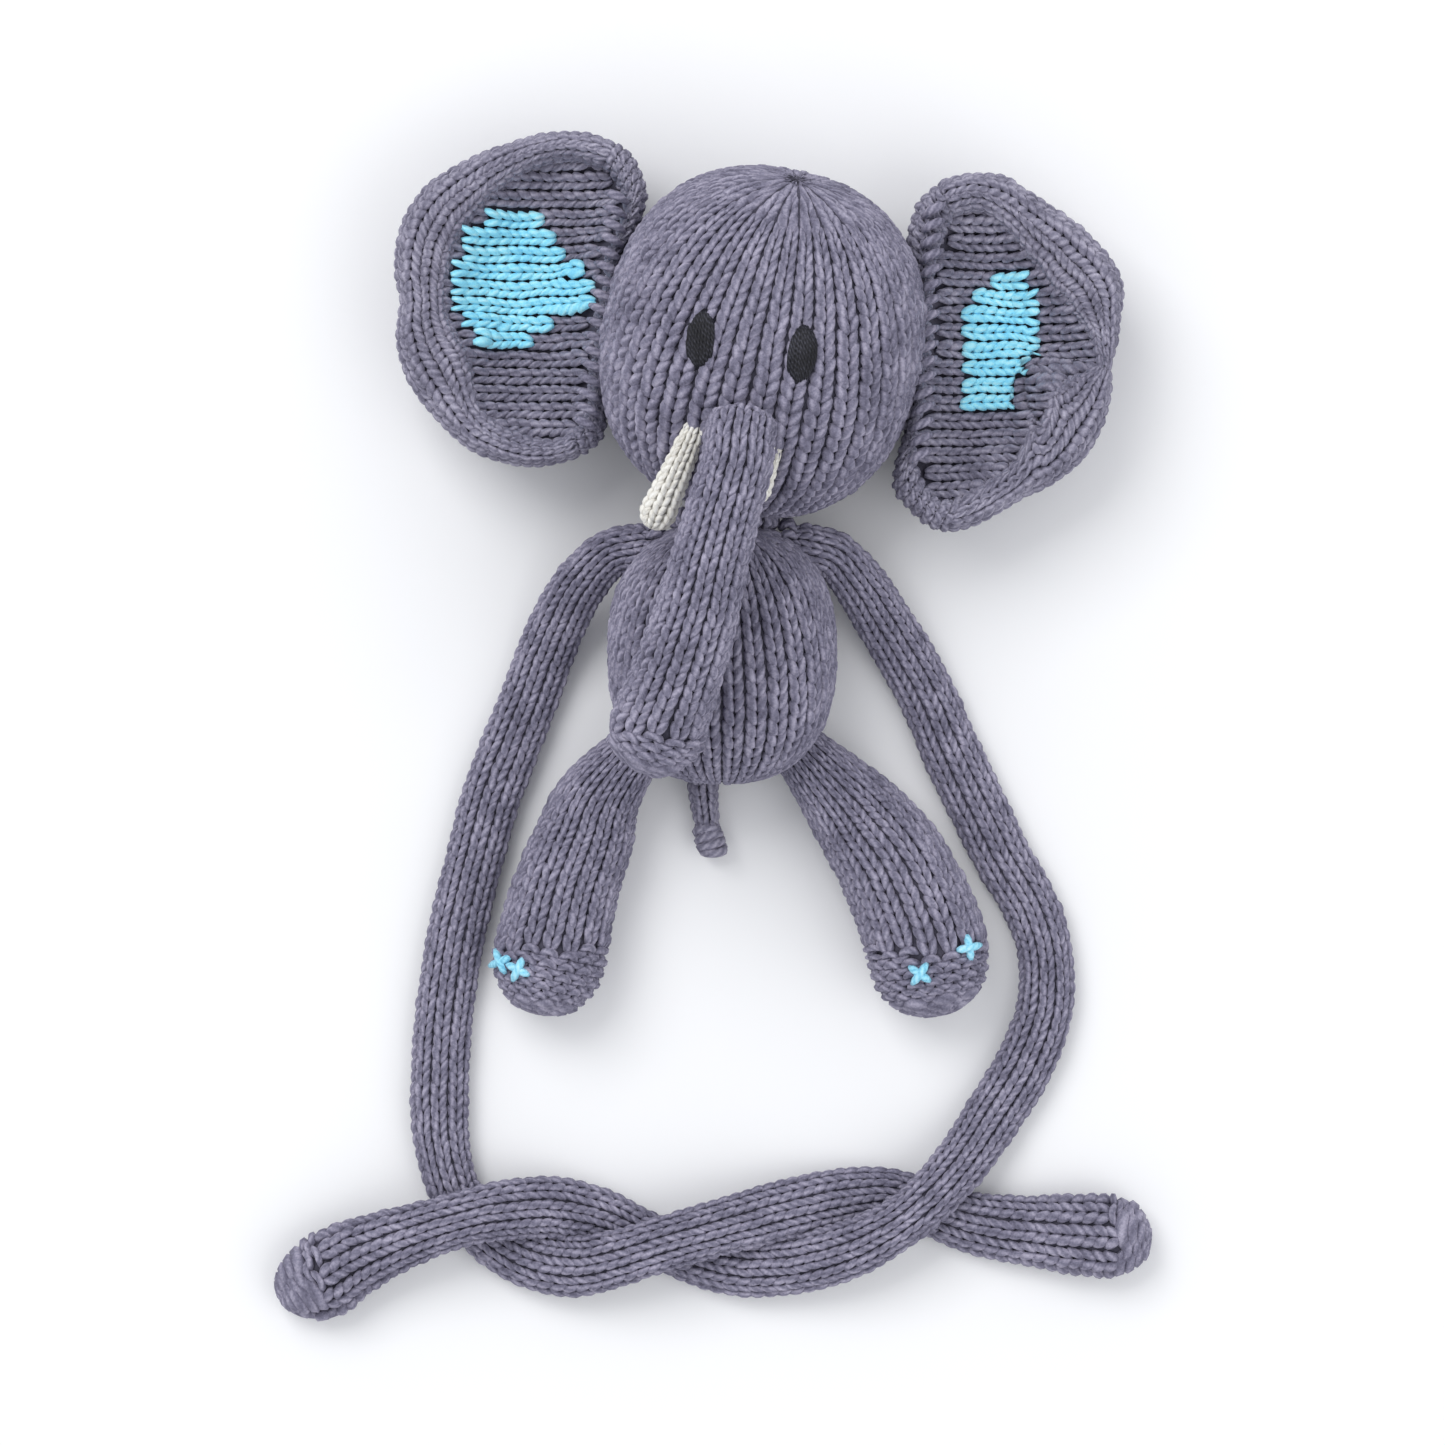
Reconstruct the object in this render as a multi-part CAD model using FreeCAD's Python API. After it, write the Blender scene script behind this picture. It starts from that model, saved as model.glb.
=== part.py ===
import FreeCAD, Part

import math
import os

from FreeCAD import Matrix, Placement, Rotation, Vector

# Hand-knitted stuffed elephant, lying on its back. Millimetres.
# X runs across the toy, +Y towards the crown of the head, +Z up from the table that it lies on.
# "left" and "right" are the sides seen by someone who looks down at its face.

YARN = 2.6            # thickness of the knitted fabric
GAP = 0.35            # clearance between pieces that move against each other
STRAND = 1.2          # radius of a bundle of sewing yarn
TABLE = 0.0

HEAD_CENTRE = Vector(13.5, 98, 32)
HEAD_HALVES = Vector(40, 43.5, 35)
HEAD_LEAN = -12       # degrees about Z: the crown leans to the right
CROWN = Vector(21.8, 135.5, 0)
CROWN_RING = 3.4      # radius of the ring of yarn that gathers the crown

BODY_CENTRE = Vector(3.5, 20.5, 23)
BODY_HALVES = Vector(28.75, 33, 24.5)

NECK = Vector(4, 54, 24)
NECK_RADIUS = 11.2
NECK_RING = 12.4
NECK_POCKET = 14.3

EYES = {"left": (-1.5, 96.4), "right": (22.8, 92.6)}
EYE_HALVES = Vector(3.4, 7.2, 2.3)

TRUNK_ROOT_RADIUS = 8.4
TRUNK_SPLIT_Y = 40.0
TRUNK_TIP_LENGTH = 12.0
TRUNK = [
    (Vector(8.25, 76, 67), 8.1),
    (Vector(7.0, 67, 68), 8.8),
    (Vector(4.2, 56, 68), 9.1),
    (Vector(0.4, 42, 67.4), 9.6),
    (Vector(-3.4, 27, 64.8), 10.4),
    (Vector(-8.4, 12, 60.2), 11.2),
    (Vector(-12.2, 2, 56.2), 12.0),
]
TRUNK_DOME = 12.5

TUSK_ROOT_RADIUS = 3.4
TUSK_TIP_RADIUS = 4.3
TUSKS = {
    "left": (Vector(-3.4, 74.2, 58.4), Vector(-12.2, 54.6, 52.8)),
    "right": (Vector(16.6, 70.4, 58.2), Vector(11.6, 52.0, 54.2)),
}
TUSK_DENT = 1.3       # the face gives way by this much round a tusk

# Outlines of the rims of the two ears, from the crown end of the seam round the outer edge.
EAR_OUTLINES = {
    "left": [(-26, 136), (-31, 150), (-47, 149.5), (-66, 141.5), (-77.5, 127), (-78.8, 106),
             (-75, 87), (-61, 72), (-45, 67), (-34.6, 75), (-31.8, 98), (-28.5, 120)],
    "right": [(60.2, 134), (69, 141), (84, 134), (96.8, 123.6), (103.8, 108), (103.5, 92),
              (100, 75), (89, 63), (74, 55), (61, 52), (56.6, 66), (58.2, 98)],
}
EAR_CENTRES = {"left": Vector(-52, 109, 0), "right": Vector(80, 97, 0)}
EAR_SHIFT = 4.0       # the hollow lies this much nearer to the head than the middle of the ear
EAR_SEAMS = {
    "left": (Vector(-31.0, 76, 34), Vector(-22.6, 136, 34)),
    "right": (Vector(52.9, 68, 34), Vector(56.6, 133, 34)),
}
EAR_SEAM_RADIUS = 2.4
EAR_BOWL = [(0.6, 0.45), (3, 0.68), (9, 0.87), (18, 0.97), (26, 1.0), (31, 0.95)]
EAR_HOLLOW = [(6.5, 0.30), (8.5, 0.46), (14, 0.60), (23, 0.69), (33, 0.74)]
EAR_SIZE = 36.0       # mean distance from the middle of an ear to its edge
PATCH_RADIUS = {"left": 17.0, "right": 15.0}
PATCH_CENTRES = {"left": Vector(-49, 116, 0), "right": Vector(74, 97, 0)}
PATCH_THICKNESS = 0.9

SHOULDER_Y = 47.0
SHOULDER_Z = 24.0
SHOULDERS = {"left": -17.5, "right": 24.5}
SHOULDER_RADIUS = 7.3
SHOULDER_POCKET = 8.7
SHOULDER_RING = 5.6
SHOULDER_RING_OFFSET = 4.4
ELBOW_Y = -94.0
ARM_HALF_THICKNESS = 4.3
STRAND_LOW = 4.6      # height of the middle of an arm where it passes under the other one
STRAND_HIGH = 14.4    # height of the middle of an arm where it passes over the other one

# Routes of the middle of the arms: x, y, z and the half width there.
ARMS = {
    "left": [
        (-17.5, 47, 24, 6.0), (-25, 45.2, 22, 6.2), (-32.2, 38.1, 16, 6.8), (-37.8, 28.6, 10, 7.2),
        (-42.2, 18.6, 6, 7.3), (-45.8, 8.6, 4.6, 7.4), (-50.8, -3.9, 4.4, 7.6),
        (-55.5, -16.4, 4.4, 7.6), (-59.5, -31.4, 4.4, 7.4), (-63.3, -46.4, 4.4, 7.4),
        (-66, -61.4, 4.4, 7.4), (-67.8, -76.4, 4.4, 7.4), (-68.5, -93.9, 4.4, 7.4),
        (-67.6, -106, STRAND_LOW, 7.0), (-63.8, -118, STRAND_LOW, 6.5),
        (-57, -127.5, STRAND_LOW, 6.5), (-47, -134.5, 5.2, 6.5), (-35, -137.2, 7.6, 6.5),
        (-23.5, -133.8, 12.0, 6.5), (-12, -129, STRAND_HIGH, 6.5), (3, -124.4, 12.4, 6.3),
        (18, -120, 8.6, 6.2), (33, -116.6, 5.4, 6.2), (46, -117, STRAND_LOW, 6.5),
        (57, -121, STRAND_LOW, 7.0), (68, -124.6, STRAND_LOW, 8.0), (80, -126.2, 5.4, 8.8),
        (92, -127, 6.6, 10.2), (101, -127.6, 7.2, 10.8),
    ],
    "right": [
        (24.5, 47, 24, 6.0), (32, 44.8, 22, 6.2), (39, 37, 16, 6.8), (44.6, 28.6, 10, 7.2),
        (50.8, 18.6, 6, 7.4), (56.3, 8.6, 4.6, 7.4), (61.6, -3.9, 4.4, 7.6), (67.6, -16.4, 4.4, 7.6),
        (75, -31.4, 4.4, 7.4), (82.2, -44, 4.4, 7.2), (85.8, -56, 4.4, 7.0), (85.6, -70, 4.4, 7.2),
        (80.6, -84, 4.4, 7.4), (73.2, -96, 4.8, 7.4), (65.6, -107, 8.0, 7.0),
        (57, -116.4, 12.8, 6.7), (48, -123.8, STRAND_HIGH, 6.5), (36, -131.2, 11.6, 6.5),
        (22, -136, 7.4, 6.3), (8, -136.6, 5.0, 6.3), (-5, -132.8, STRAND_LOW, 6.3),
        (-16, -127.8, STRAND_LOW, 6.3), (-27, -121.8, 5.0, 6.3), (-39.5, -118.6, 8.0, 6.3),
        (-52, -119.4, 12.4, 6.5), (-63, -122.8, STRAND_HIGH, 7.0), (-76, -127, 12.6, 7.8),
        (-88, -132, 9.2, 9.4), (-96.5, -137, 7.6, 10.8),
    ],
}
HAND_START = {"left": 92.0, "right": -88.0}
HAND_DOME = {"left": 12.0, "right": 15.0}
PALM_START = 8.0      # half width at which an arm starts to thicken into its hand
PALM_SWELL = 2.8      # further half width at which the hand has its full thickness
HAND_HALF_THICKNESS = 7.0

HIP_RADIUS = 8.2
HIP_RING_ANGLE = 42   # degrees between the hip's inward direction and its ring of yarn
# Routes of the middle of the legs: x, y and the half width there.
LEGS = {
    "left": [(-20, -5.6, 7.6), (-27.8, -16.4, 10.9), (-31.5, -26.4, 12.6), (-35.3, -36.4, 13.3),
             (-38, -46.4, 14.0), (-40.3, -56.8, 14.5)],
    "right": [(24.5, -5.6, 7.6), (32, -13.9, 10.2), (38.6, -21.6, 12.5), (45.8, -31.4, 14.0),
              (50.9, -41.4, 14.9), (54.6, -51.4, 15.4), (55.8, -57.2, 15.2)],
}
LEG_FLATNESS = 0.92   # a leg's height over its width
HIP_Z = 13.5
FOOT_DOME = 14.6
FOOT_CAP_Y = -52.0
TOES = {
    "left": [(-47.8, -59.0, 20), (-53.6, -56.5, 75)],
    "right": [(53.0, -60.0, 10), (65.5, -53.5, -35)],
}
TOE_STITCH = 6.4
TOE_YARN = 0.95

TAIL = [Vector(-1.6, -9.5, 6.4), Vector(-0.4, -24.0, 4.0)]
TAIL_ROOT_RADIUS = 4.2
TAIL_END_RADIUS = 2.9
TAIL_KNOT = Vector(0.6, -27.0, 4.0)
TAIL_KNOT_HALVES = Vector(4.0, 4.8, 3.8)

DOME_STEPS = (0.45, 0.75, 0.93)
SECTION_POINTS = 12


def sphere(centre, radius):
    return Part.makeSphere(radius, centre)


def ellipsoid(centre, halves, turn=Rotation()):
    """Ellipsoid with the given half axes, turned about its centre."""
    ball = Part.makeSphere(1.0)
    stretch = Matrix()
    stretch.scale(halves.x, halves.y, halves.z)
    shape = ball.transformGeometry(stretch)
    shape.Placement = Placement(centre, turn)
    return shape


def ring(centre, axis, major, minor):
    return Part.makeTorus(major, minor, centre, axis)


def slab(low, high):
    """Box from one corner to the opposite one."""
    size = high - low
    return Part.makeBox(size.x, size.y, size.z, low)


def above(z):
    return slab(Vector(-300, -300, z), Vector(300, 300, 300))


def between_y(low, high):
    return slab(Vector(-300, low, -300), Vector(300, high, 300))


def section(centre, along, half_width, half_height):
    """Closed elliptical wire across the direction along, its width level with the table."""
    side = Vector(0, 0, 1).cross(along).normalize()
    up = along.cross(side).normalize()
    points = []
    for step in range(SECTION_POINTS):
        angle = 2 * math.pi * step / SECTION_POINTS
        across = side * (half_width * math.cos(angle))
        points.append(centre + across + up * (half_height * math.sin(angle)))
    curve = Part.BSplineCurve()
    curve.interpolate(points, True)
    return Part.Wire(curve.toShape())


def limb(stations, dome, thinner=0.0):
    """Stuffed tube through (centre, half width, half height) stations, closed by a dome.

    With thinner set, the whole tube shrinks by that much: it is then what the cover encloses.
    """
    centres = [station[0] for station in stations]
    halves = [(station[1] - thinner, station[2] - thinner) for station in stations]
    end = centres[-1]
    last = halves[-1]
    along = (centres[-1] - centres[-2]).normalize()
    for step in DOME_STEPS:
        shrink = math.sqrt(1 - step * step)
        centres.append(end + along * ((dome - thinner) * step))
        halves.append((last[0] * shrink, last[1] * shrink))
    wires = []
    for index, centre in enumerate(centres):
        before = centres[max(index - 1, 0)]
        after = centres[min(index + 1, len(centres) - 1)]
        wires.append(section(centre, after - before, *halves[index]))
    return Part.makeLoft(wires, True)


def rooted_limb(stations, dome, root_radius, thinner=0.0):
    """Limb whose root is a ball about its first station, where its joint turns."""
    tube = limb(stations, dome, thinner)
    root = stations[0][0]
    ball = Part.makeSphere(root_radius - thinner, root, stations[1][0] - root)
    return tube.fuse(ball).removeSplitter()


def fused(shapes):
    whole = shapes[0]
    for shape in shapes[1:]:
        whole = whole.fuse(shape)
    return whole


def without(shape, cutters):
    for cutter in cutters:
        shape = shape.cut(cutter)
    return shape


def on_head(x, y):
    """Point of the head's front surface above x, y, and the outward normal there."""
    lean = math.radians(-HEAD_LEAN)
    dx = x - HEAD_CENTRE.x
    dy = y - HEAD_CENTRE.y
    across = dx * math.cos(lean) - dy * math.sin(lean)
    along = dx * math.sin(lean) + dy * math.cos(lean)
    rise = 1 - (across / HEAD_HALVES.x) ** 2 - (along / HEAD_HALVES.y) ** 2
    height = HEAD_HALVES.z * math.sqrt(rise)
    slope_across = across / HEAD_HALVES.x ** 2
    slope_along = along / HEAD_HALVES.y ** 2
    normal = Vector(
        slope_across * math.cos(lean) + slope_along * math.sin(lean),
        slope_along * math.cos(lean) - slope_across * math.sin(lean),
        height / HEAD_HALVES.z ** 2,
    )
    return Vector(x, y, HEAD_CENTRE.z + height), normal.normalize()


def facing(normal):
    return Rotation(Vector(0, 0, 1), normal)


def shell_and_filling(outer, inner):
    """Knitted cover round its stuffing, as two solids that touch face to face."""
    return outer.cut(inner), inner


def make_neck():
    return {
        "neck_stuffing": sphere(NECK, NECK_RADIUS),
        "neck_seam": ring(NECK, Vector(0, 1, 0), NECK_RING, STRAND),
    }


def make_body():
    pockets = [sphere(NECK, NECK_POCKET)]
    for x in SHOULDERS.values():
        pockets.append(sphere(Vector(x, SHOULDER_Y, SHOULDER_Z), SHOULDER_POCKET))
    for side in LEGS:
        pockets.append(sphere(hip_centre(side), hip_reach() + GAP))
    pockets.append(sphere(TAIL[0], TAIL_ROOT_RADIUS + GAP))
    thinner = Vector(YARN, YARN, YARN)
    outer = ellipsoid(BODY_CENTRE, BODY_HALVES).common(above(TABLE))
    inner = ellipsoid(BODY_CENTRE, BODY_HALVES - thinner).common(above(TABLE + YARN))
    cover, stuffing = shell_and_filling(outer, inner)
    return {"body_cover": without(cover, pockets), "body_stuffing": without(stuffing, pockets)}


def make_head():
    turn = Rotation(Vector(0, 0, 1), HEAD_LEAN)
    thinner = Vector(YARN, YARN, YARN)
    outer = ellipsoid(HEAD_CENTRE, HEAD_HALVES, turn).common(above(TABLE))
    inner = ellipsoid(HEAD_CENTRE, HEAD_HALVES - thinner, turn).common(above(TABLE + YARN))
    cover, stuffing = shell_and_filling(outer, inner)
    pockets = [sphere(NECK, NECK_POCKET), sphere(TRUNK[0][0], TRUNK_ROOT_RADIUS + GAP)]
    for root, tip in TUSKS.values():
        pockets.append(tusk_shape(root, tip, TUSK_DENT))
    nodes = {"head_cover": without(cover, pockets), "head_stuffing": without(stuffing, pockets)}
    crown, crown_normal = on_head(CROWN.x, CROWN.y)
    nodes["crown_gather"] = ring(crown, crown_normal, CROWN_RING, STRAND)
    for side, (x, y) in EYES.items():
        point, normal = on_head(x, y)
        lean = Rotation(Vector(0, 0, 1), HEAD_LEAN / 2)
        nodes["eye_" + side] = ellipsoid(point, EYE_HALVES, facing(normal).multiply(lean))
    for side, (low, high) in EAR_SEAMS.items():
        along = high - low
        nodes["ear_" + side + "_seam"] = Part.makeCylinder(EAR_SEAM_RADIUS, along.Length, low, along)
    return nodes


def ear_wire(side, centre, scale, z):
    """The ear's outline, scaled about a point in plan and set at a height."""
    points = []
    for x, y in EAR_OUTLINES[side]:
        points.append(Vector(centre.x + (x - centre.x) * scale, centre.y + (y - centre.y) * scale, z))
    curve = Part.BSplineCurve()
    curve.interpolate(points, True)
    return Part.Wire(curve.toShape())


def ear_bowl(side, centre, levels):
    return Part.makeLoft([ear_wire(side, centre, scale, z) for z, scale in levels], True)


def thicker(levels, by):
    """The hollow's levels after a layer of the given thickness has been laid in it."""
    return [(z + by, scale - by / EAR_SIZE) for z, scale in levels]


def make_ear(side):
    middle = EAR_CENTRES[side]
    towards_head = Vector(EAR_SHIFT if side == "left" else -EAR_SHIFT, 0, 0)
    hollow_centre = middle + towards_head
    bowl = ear_bowl(side, middle, EAR_BOWL)
    hollow = ear_bowl(side, hollow_centre, EAR_HOLLOW)
    lined = ear_bowl(side, hollow_centre, thicker(EAR_HOLLOW, YARN))
    patched = ear_bowl(side, hollow_centre, thicker(EAR_HOLLOW, YARN + PATCH_THICKNESS))
    below_rim = slab(Vector(-300, -300, 0), Vector(300, 300, EAR_BOWL[-1][0]))
    lining = hollow.cut(lined).common(below_rim)
    centre = PATCH_CENTRES[side]
    column = Part.makeCylinder(PATCH_RADIUS[side], EAR_BOWL[-1][0] - 4, centre)
    patch = lined.cut(patched).common(column)
    return {
        "ear_" + side + "_back": bowl.cut(hollow),
        "ear_" + side + "_lining": lining,
        "ear_" + side + "_patch": patch,
    }


def make_trunk():
    stations = [(centre, radius, radius) for centre, radius in TRUNK]
    outer = rooted_limb(stations, TRUNK_DOME, TRUNK_ROOT_RADIUS)
    inner = rooted_limb(stations, TRUNK_DOME, TRUNK_ROOT_RADIUS, YARN)
    cover, stuffing = shell_and_filling(outer, inner)
    upper = between_y(TRUNK_SPLIT_Y + GAP / 2, 200)
    tip_y = TRUNK[-1][0].y - TRUNK_DOME + TRUNK_TIP_LENGTH
    lower = between_y(-200, TRUNK_SPLIT_Y - GAP / 2)
    lower_cover = cover.common(lower)
    return {
        "trunk_upper_cover": cover.common(upper),
        "trunk_upper_stuffing": stuffing.common(upper),
        "trunk_lower_cover": lower_cover.common(between_y(tip_y, 200)),
        "trunk_lower_stuffing": stuffing.common(lower),
        "trunk_tip_cap": lower_cover.common(between_y(-200, tip_y)),
    }


def on_ball(height, radius, angle):
    """Point of a ball's outline in the XZ plane, its centre on the Z axis, at an angle above its equator."""
    return Vector(radius * math.cos(angle), 0, height + radius * math.sin(angle))


def tusk_shape(root, tip, thicker_by=0.0):
    """Two balls and the cone that touches both, turned from one outline."""
    low = TUSK_ROOT_RADIUS + thicker_by
    high = TUSK_TIP_RADIUS + thicker_by
    along = tip - root
    touch = -math.asin((high - low) / along.Length)
    quarter = math.pi / 2
    root_arc = [on_ball(0, low, angle) for angle in (-quarter, (touch - quarter) / 2, touch)]
    tip_arc = [on_ball(along.Length, high, angle) for angle in (touch, (touch + quarter) / 2, quarter)]
    edges = [
        Part.Arc(*root_arc).toShape(),
        Part.makeLine(root_arc[-1], tip_arc[0]),
        Part.Arc(*tip_arc).toShape(),
        Part.makeLine(tip_arc[-1], root_arc[0]),
    ]
    tusk = Part.Face(Part.Wire(edges)).revolve(Vector(), Vector(0, 0, 1), 360)
    tusk.Placement = Placement(root, facing(along))
    return tusk


def arm_stations(side):
    stations = []
    for x, y, z, half_width in ARMS[side]:
        half_height = ARM_HALF_THICKNESS
        if half_width > PALM_START:
            swell = (half_width - PALM_START) / PALM_SWELL
            half_height += (HAND_HALF_THICKNESS - ARM_HALF_THICKNESS) * min(1, swell)
        stations.append((Vector(x, y, z), half_width, half_height))
    return stations


def make_arm(side):
    stations = arm_stations(side)
    outer = rooted_limb(stations, HAND_DOME[side], SHOULDER_RADIUS)
    inner = rooted_limb(stations, HAND_DOME[side], SHOULDER_RADIUS, YARN)
    cover, stuffing = shell_and_filling(outer, inner)
    upper = between_y(ELBOW_Y + GAP / 2, 200)
    lower = between_y(-300, ELBOW_Y - GAP / 2)
    hand_side = slab(Vector(HAND_START["left"], -300, -50), Vector(300, 300, 100))
    if side == "right":
        hand_side = slab(Vector(-300, -300, -50), Vector(HAND_START["right"], 300, 100))
    lower_cover = cover.common(lower)
    inward = SHOULDER_RING_OFFSET if side == "left" else -SHOULDER_RING_OFFSET
    ring_centre = stations[0][0] + Vector(inward, 0, 0)
    name = "arm_" + side
    return {
        name + "_upper_cover": cover.common(upper),
        name + "_upper_stuffing": stuffing.common(upper),
        name + "_shoulder_seam": ring(ring_centre, Vector(1, 0, 0), SHOULDER_RING, STRAND),
        name + "_lower_cover": lower_cover.cut(hand_side),
        name + "_lower_stuffing": stuffing.common(lower),
        name + "_hand": lower_cover.common(hand_side),
    }


def hip_centre(side):
    x, y, half_width = LEGS[side][0]
    return Vector(x, y, HIP_Z)


def hip_reach():
    """How far the hip's ring of yarn reaches from the hip's centre."""
    return HIP_RADIUS + GAP + 2 * STRAND


def make_leg(side):
    stations = []
    for index, (x, y, half_width) in enumerate(LEGS[side]):
        half_height = half_width * LEG_FLATNESS
        z = HIP_Z if index == 0 else max(half_height, HIP_Z - 1.0 * index)
        stations.append((Vector(x, y, z), half_width, half_height))
    outer = rooted_limb(stations, FOOT_DOME, HIP_RADIUS).common(above(TABLE))
    inner = rooted_limb(stations, FOOT_DOME, HIP_RADIUS, YARN)
    cover, stuffing = shell_and_filling(outer, inner)
    name = "leg_" + side
    hip = hip_centre(side)
    inward = (BODY_CENTRE - hip).normalize()
    angle = math.radians(HIP_RING_ANGLE)
    distance = HIP_RADIUS + GAP + STRAND
    ring_centre = hip + inward * (distance * math.cos(angle))
    crosses = [toe_cross(stations, x, y, turn) for x, y, turn in TOES[side]]
    return {
        name + "_cover": cover.common(between_y(FOOT_CAP_Y, 200)),
        name + "_stuffing": stuffing,
        name + "_hip_seam": ring(ring_centre, inward, distance * math.sin(angle), STRAND),
        "foot_" + side + "_cap": cover.common(between_y(-200, FOOT_CAP_Y)),
        "foot_" + side + "_toes": Part.makeCompound(crosses),
    }


def toe_cross(stations, x, y, turn):
    """Cross of two bars of yarn on top of the foot, above x, y."""
    centre, half_width, half_height = stations[-1]
    offset = (x - centre.x) / half_width
    back = min(0.0, y - centre.y) / FOOT_DOME
    rise = math.sqrt(max(0.04, 1 - offset * offset - back * back))
    point = Vector(x, y, centre.z + half_height * rise)
    normal = Vector(offset / half_width, back / FOOT_DOME, rise / half_height)
    bars = []
    for angle in (-45, 45):
        spin = Rotation(Vector(0, 0, 1), angle + turn)
        along = facing(normal).multiply(spin).multVec(Vector(1, 0, 0))
        start = point - along * (TOE_STITCH / 2)
        bars.append(Part.makeCylinder(TOE_YARN, TOE_STITCH, start, along))
    return fused(bars)


def make_tail():
    root, end = TAIL
    along = end - root
    cone = Part.makeCone(TAIL_ROOT_RADIUS - 0.2, TAIL_END_RADIUS, along.Length, root, along)
    knot = ellipsoid(TAIL_KNOT, TAIL_KNOT_HALVES)
    cord = fused([cone, sphere(root, TAIL_ROOT_RADIUS)]).cut(knot)
    return {"tail_cord": cord.common(above(TABLE)), "tail_knot": knot}


def main():
    nodes = {}
    nodes.update(make_body())
    nodes.update(make_neck())
    nodes.update(make_head())
    nodes.update(make_trunk())
    nodes.update(make_tail())
    for side in ("left", "right"):
        nodes.update(make_ear(side))
        nodes["tusk_" + side] = tusk_shape(*TUSKS[side])
        nodes.update(make_arm(side))
        nodes.update(make_leg(side))
    os.makedirs("parts", exist_ok=True)
    whole = FreeCAD.BoundBox()
    for name, shape in nodes.items():
        shape.exportStep(os.path.join("parts", name + ".step"))
        whole.add(shape.BoundBox)
        print(name, len(shape.Solids), shape.isValid(), round(shape.Volume))
    print("box", whole)


main()
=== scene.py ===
"""Hand-knitted stuffed elephant on a pale floor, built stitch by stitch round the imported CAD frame."""

import math

import bpy
import numpy as np
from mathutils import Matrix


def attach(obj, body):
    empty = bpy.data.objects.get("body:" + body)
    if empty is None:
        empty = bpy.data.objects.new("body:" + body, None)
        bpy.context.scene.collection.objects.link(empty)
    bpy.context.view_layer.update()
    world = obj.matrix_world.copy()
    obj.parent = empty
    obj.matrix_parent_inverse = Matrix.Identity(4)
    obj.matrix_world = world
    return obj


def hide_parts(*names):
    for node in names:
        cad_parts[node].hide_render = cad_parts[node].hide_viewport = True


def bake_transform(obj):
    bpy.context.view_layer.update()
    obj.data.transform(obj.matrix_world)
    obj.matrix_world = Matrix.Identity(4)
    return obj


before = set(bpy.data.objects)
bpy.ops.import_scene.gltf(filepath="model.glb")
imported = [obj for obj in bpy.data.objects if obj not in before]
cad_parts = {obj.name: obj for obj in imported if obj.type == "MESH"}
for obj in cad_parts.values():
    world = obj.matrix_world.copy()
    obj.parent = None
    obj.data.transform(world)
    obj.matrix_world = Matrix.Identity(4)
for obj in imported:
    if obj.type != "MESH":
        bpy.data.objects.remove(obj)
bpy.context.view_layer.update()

rng = np.random.default_rng(7)

# Lengths are millimetres until make_piece() turns them into metres.
MM = 0.001
STEP = 0.02           # cells; for slopes by differences
SINK = 0.42           # wale widths that a stitch's foot lies under the outer surface
SKIN_DEPTH = 0.30     # wale widths from the outer surface in to the skin under the stitches
SKIN_FINENESS = 2     # skin columns in one wale
WIDEST_SKIN_CELL = 6.5
WIDEST_CELL = 7.5     # stitches in wider cells stand no higher
UP = np.array([0.0, 0.0, 1.0])
FLOOR_CLEARANCE = 0.2
PRESSED_BELOW = 1.6   # heights under this one are pressed together by the table
PRESSED_DEPTH = 0.25
ROUTE_SPACING = 1.0
ROUTE_SAMPLES = 12
TAPER = np.array([0.55, 0.95, 1.0, 1.0, 0.95, 0.55])
STRAND_SIDES = 6
OUTLINE_SMOOTHING = 5

SEWING_RADIUS = 1.1
LIMB_SEWING_RADIUS = 1.0
WRAP_RADIUS = 1.15

HEAD_CENTRE = (13.5, 98.0, 32.0)
HEAD_HALVES = (40.0, 43.5, 35.0)
HEAD_LEAN = -12.0
HEAD_SQUARENESS = 2.3
CROWN = (21.8, 135.5)
HEAD_WALES = 36
HEAD_ROWS = 42
HEAD_ASPECT = 0.5     # an aspect is a row's height over a wale's width
HEAD_SPLIT_Z = 34.0
CROWN_LOOPS = 9

BODY_CENTRE = (3.5, 20.5, 23.0)
BODY_HALVES = (28.75, 33.0, 24.5)
BODY_SQUARENESS = 2.4
BODY_WALES = 32
BODY_ROWS = 30
BODY_ASPECT = 0.58

NECK = (4.0, 54.0, 24.0)
NECK_RADIUS = 12.2
NECK_STITCHES = 22

# Stations of the trunk and the tail are x, y, z and radius.
TRUNK = [
    (8.4, 76, 65, 8.5), (7.6, 71, 67, 8.7), (7.0, 66, 68, 8.9), (4.2, 56, 68, 9.1), (0.4, 42, 67.4, 9.6),
    (-3.4, 27, 64.8, 10.4), (-8.4, 12, 60.2, 11.2), (-12.2, 2, 56.2, 12.0),
]
TRUNK_DOME = 12.5
TRUNK_ROOT_DOME = 3.0
TRUNK_WALES = 12
TRUNK_ROW = 3.05
TRUNK_ASPECT = 0.6
TRUNK_SPLIT_ROW = 7
TRUNK_CAP_Y = 1.5

TUSKS = {
    "left": ((-3.4, 74.2, 58.4), (-12.2, 54.6, 52.8)),
    "right": ((15.4, 70.0, 58.2), (12.2, 60.0, 56.0)),
}
TUSK_RADII = {"left": (3.0, 4.6), "right": (3.0, 3.4)}
TUSK_WALES = 6
TUSK_ROW = 2.4
TUSK_ASPECT = 0.62
TUSK_STATIONS = 5

EYES = {"left": (-1.5, 96.4), "right": (22.8, 92.6)}
EYE_HALVES = (3.4, 7.2, 2.3)
EYE_STRANDS = 9
EYE_THREAD_RADIUS = 0.62

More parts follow.
